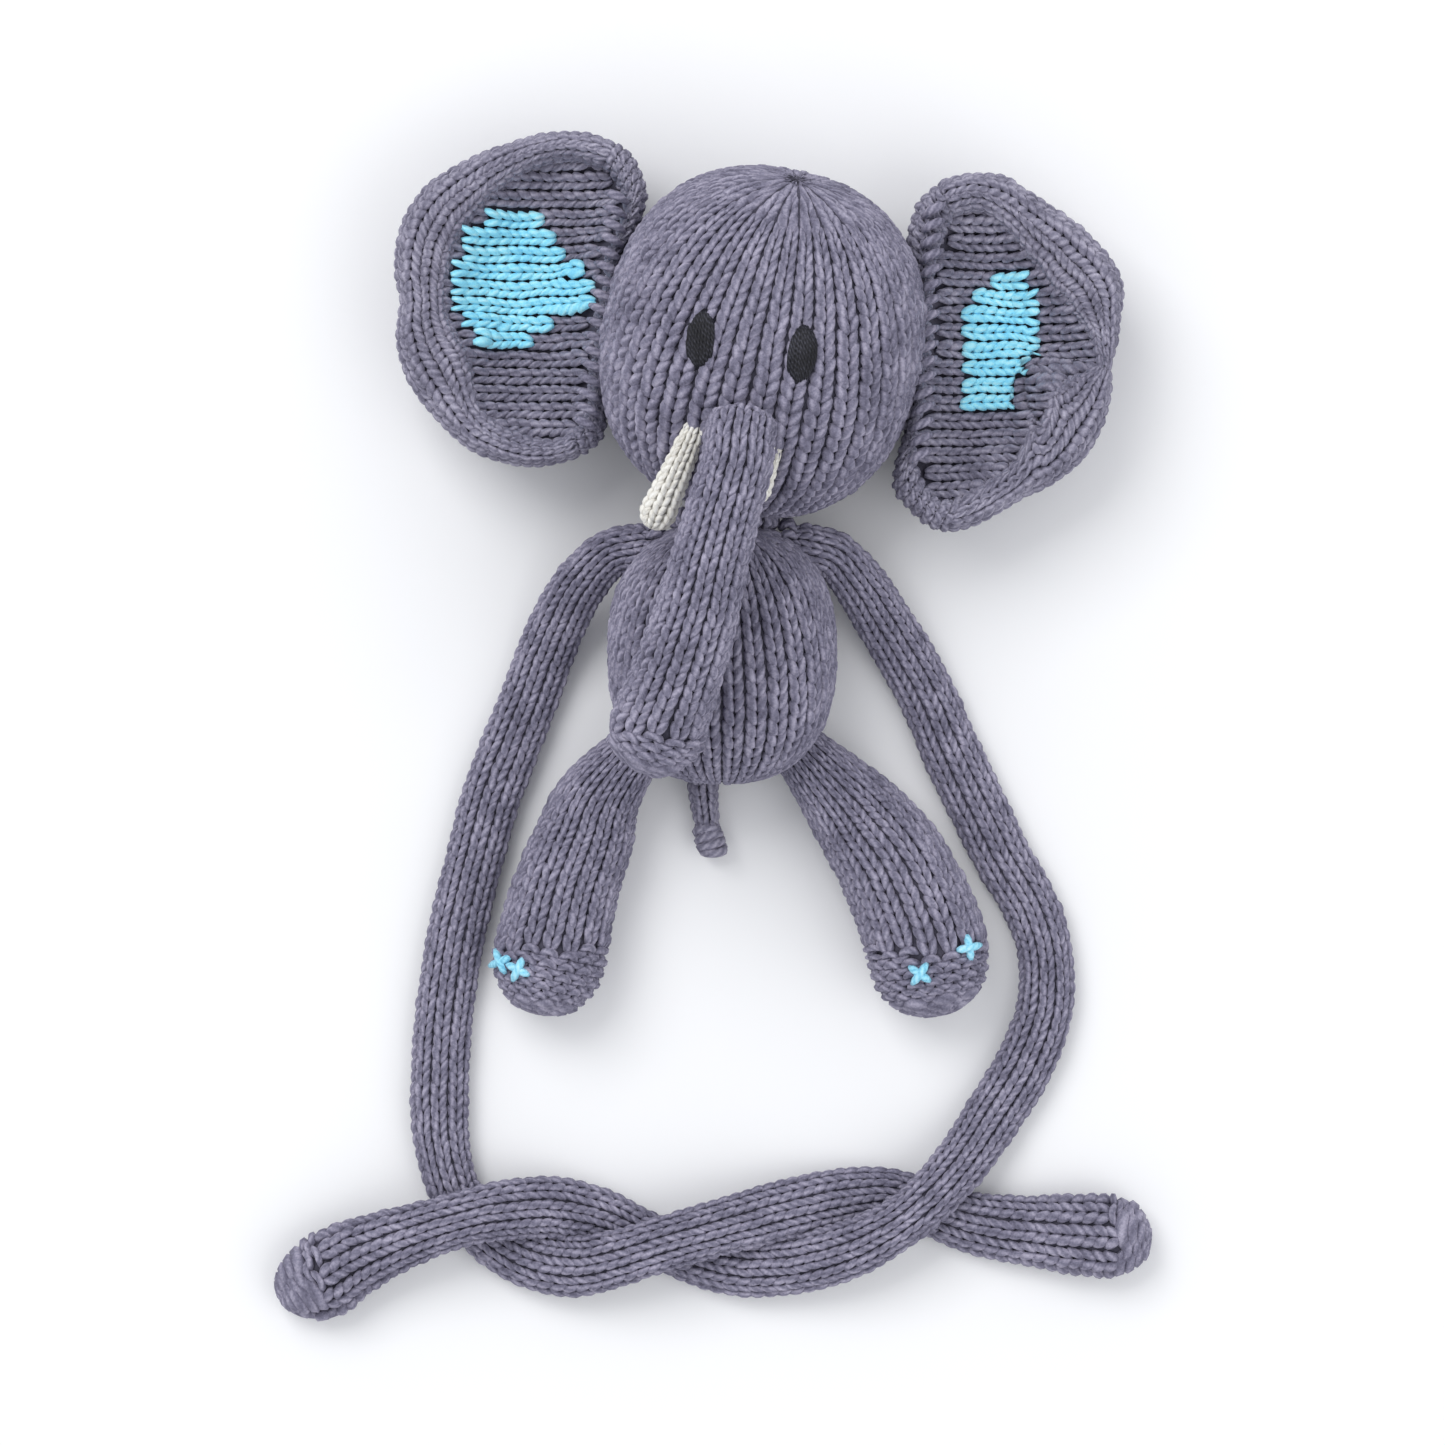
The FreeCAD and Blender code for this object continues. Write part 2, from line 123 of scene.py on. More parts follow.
EAR_CENTRES = {"left": (-45.0, 108.0), "right": (78.0, 97.0)}
EAR_OUTER = {
    "left": [
        (-19, 146), (-29.5, 151), (-49.3, 148.6), (-61.3, 143.6), (-70.3, 138.6), (-77, 128.6),
        (-78.8, 118.6), (-77.2, 108.6), (-78.3, 98.6), (-75.5, 88.6), (-67.8, 78.6), (-59.5, 71.1),
        (-44.5, 66.9), (-35, 68.6), (-26.5, 73.5), (-25.5, 90), (-24, 105), (-21.5, 120),
        (-15, 136),
    ],
    "right": [
        (50, 127), (53, 135), (59.3, 139.4), (66.8, 140.9), (74.5, 140.4), (79.3, 136.9),
        (86.8, 132.1), (97.5, 123.6), (102.5, 117.6), (104.3, 112.6), (103.5, 104.9),
        (102.4, 97.6), (101, 92.1), (101.3, 86.1), (99.3, 78.1), (94.5, 69.1), (89, 64.4),
        (79.3, 59.4), (72, 55.1), (63, 50.9), (57, 50.9), (52, 54.6), (46, 61.5), (49, 75),
        (51, 88), (52, 98), (52, 112),
    ],
}
EAR_INNER = {
    "left": [
        (-25, 141), (-37.3, 143.4), (-49, 138.4), (-56.8, 130.9), (-62.5, 122.6), (-64.3, 114.9),
        (-65, 106.1), (-59.5, 97.1), (-58.5, 91.1), (-56.8, 82.4), (-49, 76.6), (-38, 74),
        (-32, 78), (-30.5, 92), (-29, 106), (-26.5, 120), (-21, 133),
    ],
    "right": [
        (58.5, 122), (61.8, 129.6), (68.5, 130.9), (74.5, 126.1), (80.5, 118.1), (85.5, 110.9),
        (91.5, 104.9), (96.3, 96.4), (97.5, 92.6), (91.5, 90.4), (84.3, 87.4), (80.5, 82.4),
        (81.8, 75.9), (77, 69.1), (70.8, 64.9), (64.3, 60.1), (58, 58.5), (53, 66), (55, 84),
        (57, 98), (57, 112),
    ],
}
# Section of an ear from inside the hollow over the rolled rim and down the back to the middle:
# shares of the inner and outer outline's radius, and height.
EAR_SECTION = [
    (0.95, 0.05, 21.0), (1.0, 0.0, 26.0), (0.854, 0.146, 31.0), (0.5, 0.5, 33.2),
    (0.146, 0.854, 31.0), (0.0, 1.0, 26.0), (0.0, 0.985, 18.0), (0.0, 0.90, 9.5),
    (0.0, 0.70, 3.6), (0.0, 0.45, 2.4), (0.0, 0.05, 2.2),
]
EAR_USUAL_RADII = (26.0, 38.0)
NARROWEST_RIM = 4.0
EAR_WALE = 5.0
EAR_ROW = 3.0
EAR_KNIT_WALES = 11
EAR_PURL_WALES = 6
EAR_SEAM_STITCHES = 17
EAR_SEAMS = {
    "left": ((-31.0, 76.0, 34.0), (-22.6, 136.0, 34.0)),
    "right": ((52.9, 68.0, 34.0), (56.6, 133.0, 34.0)),
}
EAR_SEAM_SIDE = {"left": (-72.0, 62.0), "right": (118.0, 250.0)}
LINING_FLOOR = 14.0
LINING_RISE = 10.5
LINING_CURVE = 2.4
LINING_RIPPLE = 0.5
LINING_EDGE = 1.12    # share of the way at which the lining stops rising
LINING_WALE = 4.5
LINING_ROW = 2.9
PATCHES = {
    "left": [
        (-53, 132.6), (-43, 131.9), (-37.8, 127.9), (-33.0, 119.5), (-26.6, 114.2),
        (-26.6, 108.0), (-36.0, 105.4), (-41.5, 99.4), (-52.5, 97.1), (-58.5, 96.6),
        (-61.3, 104.1), (-64.3, 112.4), (-62.5, 120.6), (-58.5, 127.9),
    ],
    "right": [
        (69.8, 115.1), (79.3, 116.4), (82.5, 109.6), (84.3, 104.1), (81.8, 95.1),
        (77.5, 87.9), (73, 79.4), (66.3, 79.0), (62.3, 83.1), (61.3, 97.6), (64, 108.4),
        (66.0, 112.1),
    ],
}

ARM_HALF_THICKNESS = 4.3
HAND_HALF_THICKNESS = 7.0
ARM_WALES = 8
ARM_ROW = 3.05
ARM_ASPECT = 0.62
ARM_FLATNESS = 0.6
FLAT_HALF_WIDTH = 8.0  # the hand thickens from this half width on
HAND_WIDENING = 2.8
STRAND_LOW = 4.6       # heights of the strand below and of the one above, where the arms cross
STRAND_HIGH = 14.4
# Stations of an arm are x, y, z and half width; of a leg, x, y and half width.
ARMS = {
    "left": [
        (-17.5, 47, 24, 6.0), (-25, 45.2, 22, 6.2), (-32.2, 38.1, 16, 6.8), (-37.8, 28.6, 10, 7.2),
        (-42.2, 18.6, 6, 7.3), (-45.8, 8.6, 4.6, 7.4), (-50.8, -3.9, 4.4, 7.6),
        (-55.5, -16.4, 4.4, 7.6), (-59.5, -31.4, 4.4, 7.4), (-63.3, -46.4, 4.4, 7.4),
        (-66, -61.4, 4.4, 7.4), (-67.8, -76.4, 4.4, 7.4), (-68.5, -93.9, 4.4, 7.4),
        (-67.6, -106, STRAND_LOW, 7.0), (-63.8, -118, STRAND_LOW, 6.5),
        (-56.5, -126.5, STRAND_LOW, 7.2), (-47, -132.8, 5.2, 7.6), (-35, -135.2, 7.6, 7.8),
        (-23.5, -132.8, 12.0, 7.4), (-12, -129, STRAND_HIGH, 7.0), (3, -124.9, 12.4, 7.2),
        (18, -121.2, 8.6, 7.6), (33, -118, 5.4, 7.4), (46, -117, STRAND_LOW, 6.5),
        (57, -121, STRAND_LOW, 7.0), (68, -124.6, STRAND_LOW, 8.0), (80, -126.2, 5.4, 8.8),
        (92, -127, 6.6, 10.2), (101, -127.6, 7.2, 10.8),
    ],
    "right": [
        (24.5, 47, 24, 6.0), (32, 44.8, 22, 6.2), (39, 37, 16, 6.8), (44.6, 28.6, 10, 7.2),
        (50.8, 18.6, 6, 7.4), (56.3, 8.6, 4.6, 7.4), (61.6, -3.9, 4.4, 7.6), (67.6, -16.4, 4.4, 7.6),
        (75, -31.4, 4.4, 7.4), (82.2, -44, 4.4, 7.2), (85.8, -56, 4.4, 7.0), (85.6, -70, 4.4, 7.2),
        (80.6, -84, 4.4, 7.4), (73.2, -96, 4.8, 7.4), (65.6, -107, 8.0, 7.0),
        (57, -116.4, 12.8, 6.7), (48, -123.8, STRAND_HIGH, 6.5), (36, -130.4, 11.6, 7.4),
        (22, -134.6, 7.4, 7.6), (8, -135.4, 5.0, 7.6), (-5, -132.3, STRAND_LOW, 7.2),
        (-16, -127.8, STRAND_LOW, 6.3), (-27, -123, 5.0, 7.2), (-39.5, -120.2, 8.0, 7.8),
        (-52, -120.6, 12.4, 7.6), (-63, -122.8, STRAND_HIGH, 7.0), (-76, -127, 12.6, 7.8),
        (-88, -132, 9.2, 9.4), (-96.5, -137, 7.6, 10.8),
    ],
}
HAND_DOME = {"left": 12.0, "right": 15.0}
HAND_START = {"left": 101.0, "right": -97.0}
HANDS_BELOW_Y = -90.0
ARM_ROOT_END_Y = 8.0
SHOULDER_STITCHES = 12
SHOULDER_SEAM_REACH = 4.4
SHOULDER_SEAM_RADIUS = 5.6

HIP_Z = 13.5
LEG_FLATNESS = 0.92
LEG_WALES = 16
LEG_ROW = 3.1
LEG_ASPECT = 0.6
LEGS = {
    "left": [
        (-20, -5.6, 7.6), (-27.8, -16.4, 10.9), (-31.5, -26.4, 12.6), (-35.3, -36.4, 13.3),
        (-38, -46.4, 14.0), (-40.3, -56.8, 14.5),
    ],
    "right": [
        (24.5, -5.6, 7.6), (32, -13.9, 10.2), (38.6, -21.6, 12.5), (45.8, -31.4, 14.0),
        (50.9, -41.4, 14.9), (54.6, -51.4, 15.4), (55.8, -57.2, 15.2),
    ],
}
FOOT_DOME = 14.6
FOOT_CAP_Y = -52.0
HIP_STITCHES = 11
HIP_SEAM_REACH = 7.2
HIP_SEAM_RADIUS = 6.5
TOE_HALF_LENGTH = 3.1
# Toes are x, y and turn in degrees.
TOES = {
    "left": [(-47.8, -59.0, 20), (-52.4, -57.2, 70)],
    "right": [(53.0, -60.0, 10), (65.5, -53.5, -35)],
}

TAIL = [(-1.6, -9.5, 6.4, 4.2), (-1.2, -15, 5.6, 3.9), (-0.4, -22, 4.6, 3.2), (-0.2, -25.5, 4.4, 3.0)]
TAIL_DOME = 3.0
TAIL_WALES = 5
TAIL_ROW = 2.6
TAIL_ASPECT = 0.6
TAIL_KNOT = (0.6, -27.0, 4.4)
KNOT_HALVES = (2.9, 3.6, 2.6)
KNOT_WRAPS = 4

# Lamps are name, place and width in metres, and power in watts.
LAMPS = [("window", (-0.7, 0.9, 1.5), 1.1, 16.0), ("fill", (1.1, -0.6, 1.4), 1.4, 7.0)]
CAMERA_PLACE = (0.0036, 0.0030, 1.385)


def unit(vectors):
    return vectors / np.maximum(np.linalg.norm(vectors, axis=-1, keepdims=True), 1e-9)


def lengths_along(path):
    """Distance from a path's start to each of its points."""
    return np.concatenate([[0], np.cumsum(np.linalg.norm(np.diff(path, axis=0), axis=1))])


def sampled(at, grid, table):
    """Rows of a table, which stand at the places in grid, read at other places."""
    return np.stack([np.interp(at, grid, column) for column in table.T], axis=-1)


def joined(parts):
    """Several sets of arrays as one set. Each set is vertices, faces and what else goes with a vertex."""
    start = 0
    sets = []
    for vertices, faces, *others in parts:
        sets.append((vertices, faces + start, *others))
        start += len(vertices)
    return [np.concatenate(arrays) for arrays in zip(*sets)]


# ------ strands of yarn


def tube(path, radii):
    """Vertices, quads and (length, turn) coordinates of a closed strand along a path."""
    sides = STRAND_SIDES
    path = np.asarray(path, float)
    tangents = unit(np.gradient(path, axis=0))
    across = np.cross(UP, tangents)
    flat = np.linalg.norm(across, axis=1) < 1e-3
    across[flat] = (1.0, 0.0, 0.0)
    across = unit(across)
    up = np.cross(tangents, across)
    turns = np.arange(sides) / sides
    ring_x = np.cos(2 * math.pi * turns)
    ring_y = np.sin(2 * math.pi * turns)
    radii = np.asarray(radii, float)[:, None, None]
    rings = path[:, None, :] + radii * (
        across[:, None, :] * ring_x[None, :, None] + up[:, None, :] * ring_y[None, :, None]
    )
    count = len(path)
    coordinates = np.empty((count, sides, 2))
    coordinates[..., 0] = lengths_along(path)[:, None]
    coordinates[..., 1] = turns[None, :]
    quads = []
    for ring in range(count - 1):
        for side in range(sides):
            after = (side + 1) % sides
            low = ring * sides
            quads.append((low + side, low + after, low + sides + after, low + sides + side))
    last = (count - 1) * sides
    quads += [(3, 2, 1, 0), (5, 4, 3, 0)]
    quads += [(last, last + 1, last + 2, last + 3), (last, last + 3, last + 4, last + 5)]
    return rings.reshape(-1, 3), np.array(quads), coordinates.reshape(-1, 2)


def plain_stitch(aspect):
    """A knit stitch: a steep leg on the left and a slanting one on the right. One wale is 1 wide."""
    t = np.linspace(0, 1, len(TAPER))
    arch = np.sin(math.pi * t)
    left = np.stack([-0.12 - 0.22 * t, (-0.25 + 1.46 * t) * aspect, 0.12 + 0.14 * arch], axis=1)
    right = np.stack([0.09 + 0.28 * t, (-0.20 + 1.36 * t) * aspect, 0.12 + 0.17 * arch], axis=1)
    return joined([tube(left, 0.2 * TAPER), tube(right, 0.215 * TAPER)])


def purl_stitch(aspect):
    """A purl stitch: a bump over the wale and a lower one between it and the next."""
    t = np.linspace(0, 1, len(TAPER))
    x = t - 0.5
    arch = np.sin(math.pi * t)
    top = np.stack([0.92 * x, (0.2 + 0.45 * arch) * aspect, 0.12 + 0.19 * arch], axis=1)
    low = np.stack([0.5 + 0.92 * x, (0.2 - 0.35 * arch) * aspect, 0.10 + 0.13 * arch], axis=1)
    return joined([tube(top, 0.205 * TAPER), tube(low, 0.185 * TAPER)])


# ------ surfaces


def soft_floor(points):
    """Points near or under the table's surface, in millimetres, are pressed up to it."""
    z = points[..., 2]
    pressed = PRESSED_BELOW - PRESSED_DEPTH * (1 - np.exp(z - PRESSED_BELOW))
    points[..., 2] = np.where(z < PRESSED_BELOW, pressed, z)
    return points


def ball_surface(centre, halves, squareness, lean, pole, wales, rows):
    """Knitted ball whose wales run like lines of longitude away from a pole."""
    centre = np.array(centre, float)
    halves = np.array(halves, float)
    cosine, sine = math.cos(math.radians(lean)), math.sin(math.radians(lean))
    pole = unit(np.array(pole, float))
    east = unit(np.cross(pole, (0.0, 0.0, 1.0)))
    north = np.cross(east, pole)

    def place(u, v):
        turn = 2 * math.pi * u / wales
        polar = math.pi * v / rows
        ways = (
            np.cos(polar)[..., None] * pole
            + (np.sin(polar) * np.cos(turn))[..., None] * east
            + (np.sin(polar) * np.sin(turn))[..., None] * north
        )
        reach = (np.abs(ways) ** squareness).sum(axis=-1, keepdims=True) ** (-1 / squareness)
        local = ways * reach * halves
        out = np.empty_like(local)
        out[..., 0] = centre[0] + local[..., 0] * cosine - local[..., 1] * sine
        out[..., 1] = centre[1] + local[..., 0] * sine + local[..., 1] * cosine
        out[..., 2] = centre[2] + local[..., 2]
        return soft_floor(out)

    return place


def smooth_route(stations):
    """Stations (x, y, z, half width, half height) at even steps of their smooth curve, and its length."""
    stations = np.array(stations, float)
    padded = np.vstack([2 * stations[0] - stations[1], stations, 2 * stations[-1] - stations[-2]])
    rows = []
    for index in range(1, len(padded) - 2):
        before, start, end, after = padded[index - 1:index + 3]
        for t in np.linspace(0, 1, ROUTE_SAMPLES, endpoint=False):
            rows.append(0.5 * (
                2 * start + (end - before) * t + (2 * before - 5 * start + 4 * end - after) * t * t
                + (3 * start - before - 3 * end + after) * t ** 3
            ))
    rows.append(stations[-1])
    rows = np.array(rows)
    runs = lengths_along(rows[:, :3])
    at = np.arange(0, runs[-1] + ROUTE_SPACING, ROUTE_SPACING)
    return sampled(at, runs, rows), runs[-1]


def limb_surface(stations, dome, wales, row, flatness=1.0, turn_by=0.0, root_dome=6.0):
    """Knitted tube along a route with a dome at each end, its rows in all and its rows before the far dome.

    Rows count from the first station: the root's dome has negative ones.
    """
    route, length = smooth_route(stations)
    tangents = np.gradient(route[:, :3], axis=0)
    for _ in range(3):
        tangents[1:-1] = (tangents[:-2] + tangents[1:-1] + tangents[2:]) / 3
    tangents = unit(tangents)
    grid = np.arange(len(route))
    angles = np.linspace(0, 2 * math.pi, 181)
    steps = np.hypot(np.sin(angles), flatness * np.cos(angles))
    even = np.concatenate([[0], np.cumsum((steps[1:] + steps[:-1]) / 2)])
    even /= even[-1]
    rows = (length + dome * math.pi / 2) / row

    def place(u, v):
        share = (u / wales + turn_by) % 1.0
        angle = np.interp(share, even, angles)
        reach = v * row
        over = np.clip((reach - length) / dome, 0, math.pi / 2)
        at = np.clip(reach, 0, length) / ROUTE_SPACING
        mid = sampled(at, grid, route)
        along = unit(sampled(at, grid, tangents))
        side = unit(np.cross(UP, along))
        up = np.cross(along, side)
        under = np.clip(-reach / root_dome, 0, math.pi / 2)
        shrink = np.maximum(np.cos(over) * np.cos(under), 0.04)
        shift = dome * np.sin(over) - root_dome * np.sin(under)
        centre = mid[..., :3] + along * shift[..., None]
        wide = (mid[..., 3] * shrink * np.cos(angle))[..., None] * side
        high = (mid[..., 4] * shrink * np.sin(angle))[..., None] * up
        return soft_floor(centre + wide + high)

    return place, rows, length / row


def outline_reader(points, centre):
    """Radius of a closed outline round its centre, for any angle in degrees."""
    offsets = np.array(points, float) - centre
    angles = np.degrees(np.arctan2(offsets[:, 1], offsets[:, 0])) % 360
    order = np.argsort(angles)
    angles, radii = angles[order], np.linalg.norm(offsets, axis=1)[order]
    grid = np.arange(0, 360, 1.0)
    values = np.interp(grid, angles, radii, period=360)
    kernel = np.hanning(2 * OUTLINE_SMOOTHING + 1)[1:-1]
    kernel /= kernel.sum()
    half = len(kernel) // 2
    wrapped = np.concatenate([values[-half:], values, values[:half]])
    values = np.convolve(wrapped, kernel, "valid")

    def read(angle):
        return np.interp(angle % 360, grid, values, period=360)

    return read


def ear_surface(side):
    """Rolled rim and back of an ear, its numbers of wales and rows, and the angle of a row.

    Wales run along the edge.
    """
    centre = np.array(EAR_CENTRES[side])
    outer = outline_reader(EAR_OUTER[side], centre)
    inner = outline_reader(EAR_INNER[side], centre)
    section = np.array(EAR_SECTION)
    plan = np.stack([section[:, :2] @ EAR_USUAL_RADII, section[:, 2]], axis=1)
    runs = lengths_along(plan)
    angles = np.arange(0, 361, 1.0)
    ways = np.stack([np.cos(np.radians(angles)), np.sin(np.radians(angles))], axis=1)
    laps = lengths_along(outer(angles)[:, None] * ways)
    wales = round(runs[-1] / EAR_WALE)
    rows = round(laps[-1] / EAR_ROW)

    def angle_of(v):
        return np.interp((v / rows) % 1.0 * laps[-1], laps, angles)

    def place(u, v):
        angle = angle_of(v)
        at = np.clip(u / wales, 0, 1) * runs[-1]
        shares = sampled(at, runs, section)
        hollow = np.minimum(inner(angle), outer(angle) - NARROWEST_RIM)
        reach = shares[..., 0] * hollow + shares[..., 1] * outer(angle)
        x = centre[0] + reach * np.cos(np.radians(angle))
        y = centre[1] + reach * np.sin(np.radians(angle))
        return np.stack([x, y, shares[..., 2]], axis=-1)

    return place, wales, rows, angle_of


def lining_height(share):
    """Height of an ear's hollow at a share of the way from its middle to its edge."""
    return LINING_FLOOR + LINING_RISE * share ** LINING_CURVE


def lining_surface(side):
    """Hollow of an ear, u up the page and v away from the head, and each cell's share of the radius."""
    centre = np.array(EAR_CENTRES[side])
    inner = outline_reader(EAR_INNER[side], centre)
    along = 1.0 if side == "right" else -1.0

    def place(u, v):
        x = centre[0] + along * v * LINING_ROW
        y = centre[1] + u * LINING_WALE
        angle = np.degrees(np.arctan2(y - centre[1], x - centre[0]))
        share = np.hypot(x - centre[0], y - centre[1]) / inner(angle)
        ripple = LINING_RIPPLE * np.sin(x * 0.35) * np.cos(y * 0.27)
        return np.stack([x, y, lining_height(np.minimum(share, LINING_EDGE)) + ripple], axis=-1)

    def share_of(u, v):
        x = along * v * LINING_ROW
        y = u * LINING_WALE
        return np.hypot(x, y) / inner(np.degrees(np.arctan2(y, x)))

    return place, share_of


def inside(outline, x, y):
    """Whether points lie in a polygon."""
    found = np.zeros(x.shape, bool)
    before = outline[-1]
    for corner in outline:
        crosses = (corner[1] > y) != (before[1] > y)
        with np.errstate(divide="ignore", invalid="ignore"):
            at = (before[0] - corner[0]) * (y - corner[1]) / (before[1] - corner[1]) + corner[0]
        found ^= crosses & (x < at)
        before = corner
    return found


# ------ stitches on a surface


def slopes(place, u, v):
    """Points of a surface, its normals and the local width of one wale."""
    points = place(u, v)
    over_u = (place(u + STEP, v) - place(u - STEP, v)) / (2 * STEP)
    over_v = (place(u, v + STEP) - place(u, v - STEP)) / (2 * STEP)
    normals = unit(np.cross(over_u, over_v))
    return points, normals, np.linalg.norm(over_u, axis=-1)


def lay(place, template, u, v, aspect, outward, span=1.0, lift=0.0):
    """The template's stitches at cells whose middles are u and starts are v."""
    vertices, quads, along = template
    count = len(u)
    offset = rng.normal(0, 0.018, (count, 2))
    swell = rng.normal(1, 0.045, (count, 1))
    across = (u + offset[:, 0])[:, None] + span * vertices[None, :, 0]
    down = (v + offset[:, 1])[:, None] + vertices[None, :, 1] / aspect
    points, normals, width = slopes(place, across, down)
    height = (vertices[None, :, 2] * swell - SINK) * np.minimum(width * span, WIDEST_CELL)
    points = points + outward * normals * (height + lift)[..., None]
    faces = quads[None] + (np.arange(count) * len(vertices))[:, None, None]
    cells = np.stack([across, down], axis=-1).reshape(-1, 2)
    ply = np.broadcast_to(along[None], (count, len(vertices), 2)).copy()
    ply[..., 0] += rng.random((count, 1))
    return points.reshape(-1, 3), faces.reshape(-1, 4), cells, ply.reshape(-1, 2)


def skin(place, wales, first, last, outward, depth=SKIN_DEPTH, closed=True):
    """Form a little under a surface: it shows between the stitches, dark where it carries painted shade."""
    columns = wales * SKIN_FINENESS
    rows = max(6, int(last - first))
    u = np.linspace(0, wales, columns, endpoint=not closed)
    v = np.linspace(first, last, rows)
    grid_u, grid_v = np.meshgrid(u, v)
    points, normals, width = slopes(place, grid_u, grid_v)
    points = points - outward * normals * (depth * np.minimum(width, WIDEST_SKIN_CELL))[..., None]
    faces = []
    wrap = columns if closed else columns - 1
    for row in range(rows - 1):
        for column in range(wrap):
            after = (column + 1) % columns
            low = row * columns
            faces.append((low + column, low + after, low + columns + after, low + columns + column))
    vertices = points.reshape(-1, 3)
    if closed:
        ends = np.stack([points[0].mean(axis=0), points[-1].mean(axis=0)])
        vertices = np.vstack([vertices, ends])
        bottom = (rows - 1) * columns
        for column in range(0, columns, 2):
            after = (column + 1) % columns
            third = (column + 2) % columns
            faces.append((len(vertices) - 2, third, after, column))
            faces.append((len(vertices) - 1, bottom + column, bottom + after, bottom + third))
    cells = np.zeros((len(vertices), 2))
    cells[:columns * rows, 0] = grid_u.ravel()
    cells[:columns * rows, 1] = grid_v.ravel()
    faces = np.array(faces)
    if outward < 0:
        faces = faces[:, ::-1]
    return vertices, faces, cells, cells * 0.2


# ------ materials


TWIST = 1.4           # turns of the plies in one unit of a strand's length
PLIES = 3.0
FIBRE_SCALE = 1500
TONE_SCALE = 130
PLY_SHARE = 0.11
FIBRE_SHARE = 0.75
TONE_SHARE = 0.55


def linear(colour):
    """Scene-linear colour of an sRGB one."""
    channels = []
    for value in colour:
        share = value / 255
        channels.append(share / 12.92 if share <= 0.04045 else ((share + 0.055) / 1.055) ** 2.4)
    return (*channels, 1.0)


def maths(tree, operation, *values):
    """Result of a maths node that takes sockets or numbers."""
    node = tree.nodes.new("ShaderNodeMath")
    node.operation = operation
    for socket, value in zip(node.inputs, values):
        if isinstance(value, float):
            socket.default_value = value
        else:
            tree.links.new(value, socket)
    return node.outputs[0]


def noise(tree, where, scale, detail):
    """Noise texture node."""
    node = tree.nodes.new("ShaderNodeTexNoise")
    node.inputs["Scale"].default_value = scale
    node.inputs["Detail"].default_value = detail
    tree.links.new(where, node.inputs["Vector"])
    return node


def yarn(name, *colours, roughness=0.85, sheen=0.35):
    """Yarn in a dark, a middle and a light colour: slanting plies as stripes of painted shade and bump,
    fibres and slow changes of tone.
    """
    dark, middle, light = (linear(colour) for colour in colours)
    material = bpy.data.materials.new(name)
    material.use_nodes = True
    tree = material.node_tree
    shader = tree.nodes["Principled BSDF"]
    shader.inputs["Roughness"].default_value = roughness
    shader.inputs["Sheen Weight"].default_value = sheen
    shader.inputs["Sheen Roughness"].default_value = 0.45
    shader.inputs["Sheen Tint"].default_value = light
    shader.inputs["Specular IOR Level"].default_value = 0.25
    strand = tree.nodes.new("ShaderNodeUVMap")
    strand.uv_map = "Ply"
    split = tree.nodes.new("ShaderNodeSeparateXYZ")
    tree.links.new(strand.outputs[0], split.inputs[0])
    along = maths(tree, "MULTIPLY", split.outputs[0], 2 * math.pi * TWIST)
    around = maths(tree, "MULTIPLY", split.outputs[1], 2 * math.pi * PLIES)
    # The ply wave darkens the colour in slanting stripes, painted shade of the grooves between the plies;
    # it also drives the bump.
    plies = maths(tree, "SINE", maths(tree, "ADD", along, around))
    spot = tree.nodes.new("ShaderNodeTexCoord").outputs["Object"]
    fibres = noise(tree, spot, FIBRE_SCALE, 4)
    fibres.inputs["Roughness"].default_value = 0.7
    tone = noise(tree, spot, TONE_SCALE, 3)
    plies = maths(tree, "MULTIPLY", plies, PLY_SHARE)
    fibres = maths(tree, "MULTIPLY", fibres.outputs["Fac"], FIBRE_SHARE)
    tone = maths(tree, "MULTIPLY", tone.outputs["Fac"], TONE_SHARE)
    total = maths(tree, "ADD", maths(tree, "ADD", plies, fibres), tone)
    ramp = tree.nodes.new("ShaderNodeValToRGB")
    ramp.color_ramp.elements[0].position = 0.38
    ramp.color_ramp.elements[0].color = dark
    ramp.color_ramp.elements[1].position = 0.95
    ramp.color_ramp.elements[1].color = light
    centre = ramp.color_ramp.elements.new(0.65)
    centre.color = middle
    tree.links.new(total, ramp.inputs["Fac"])
    tree.links.new(ramp.outputs["Color"], shader.inputs["Base Color"])
    relief = tree.nodes.new("ShaderNodeBump")
    relief.inputs["Strength"].default_value = 0.5
    relief.inputs["Distance"].default_value = 0.0007
    tree.links.new(total, relief.inputs["Height"])
    tree.links.new(relief.outputs["Normal"], shader.inputs["Normal"])
    return material


GREY = yarn("grey_wool", (86, 84, 102), (127, 124, 144), (178, 173, 192))
EAR_GREY = yarn("ear_wool", (92, 90, 107), (132, 129, 148), (182, 178, 195))
# Dark painted shade: the forms under the stitches take this colour in place of the shade that falls in the
# gaps between them.
SHADE = yarn("painted_shade_between_stitches", (56, 54, 66), (72, 70, 84), (92, 89, 104))
BLUE = yarn("blue_wool", (126, 212, 246), (158, 236, 255), (204, 248, 255))
CREAM = yarn("cream_wool", (196, 192, 182), (232, 229, 222), (250, 249, 245))
# Darker cream painted shade for the form under the tusks' stitches, in place of the shade in the gaps.
CREAM_SHADE = yarn("cream_painted_shade_inside", (140, 136, 128), (170, 166, 158), (200, 197, 190))
BLACK = yarn("black_thread", (12, 12, 15), (30, 30, 36), (70, 70, 80), roughness=0.5, sheen=0.2)
PALE_BLUE = yarn("pale_blue_thread", (110, 184, 214), (152, 222, 246), (196, 240, 254))


# ------ pieces


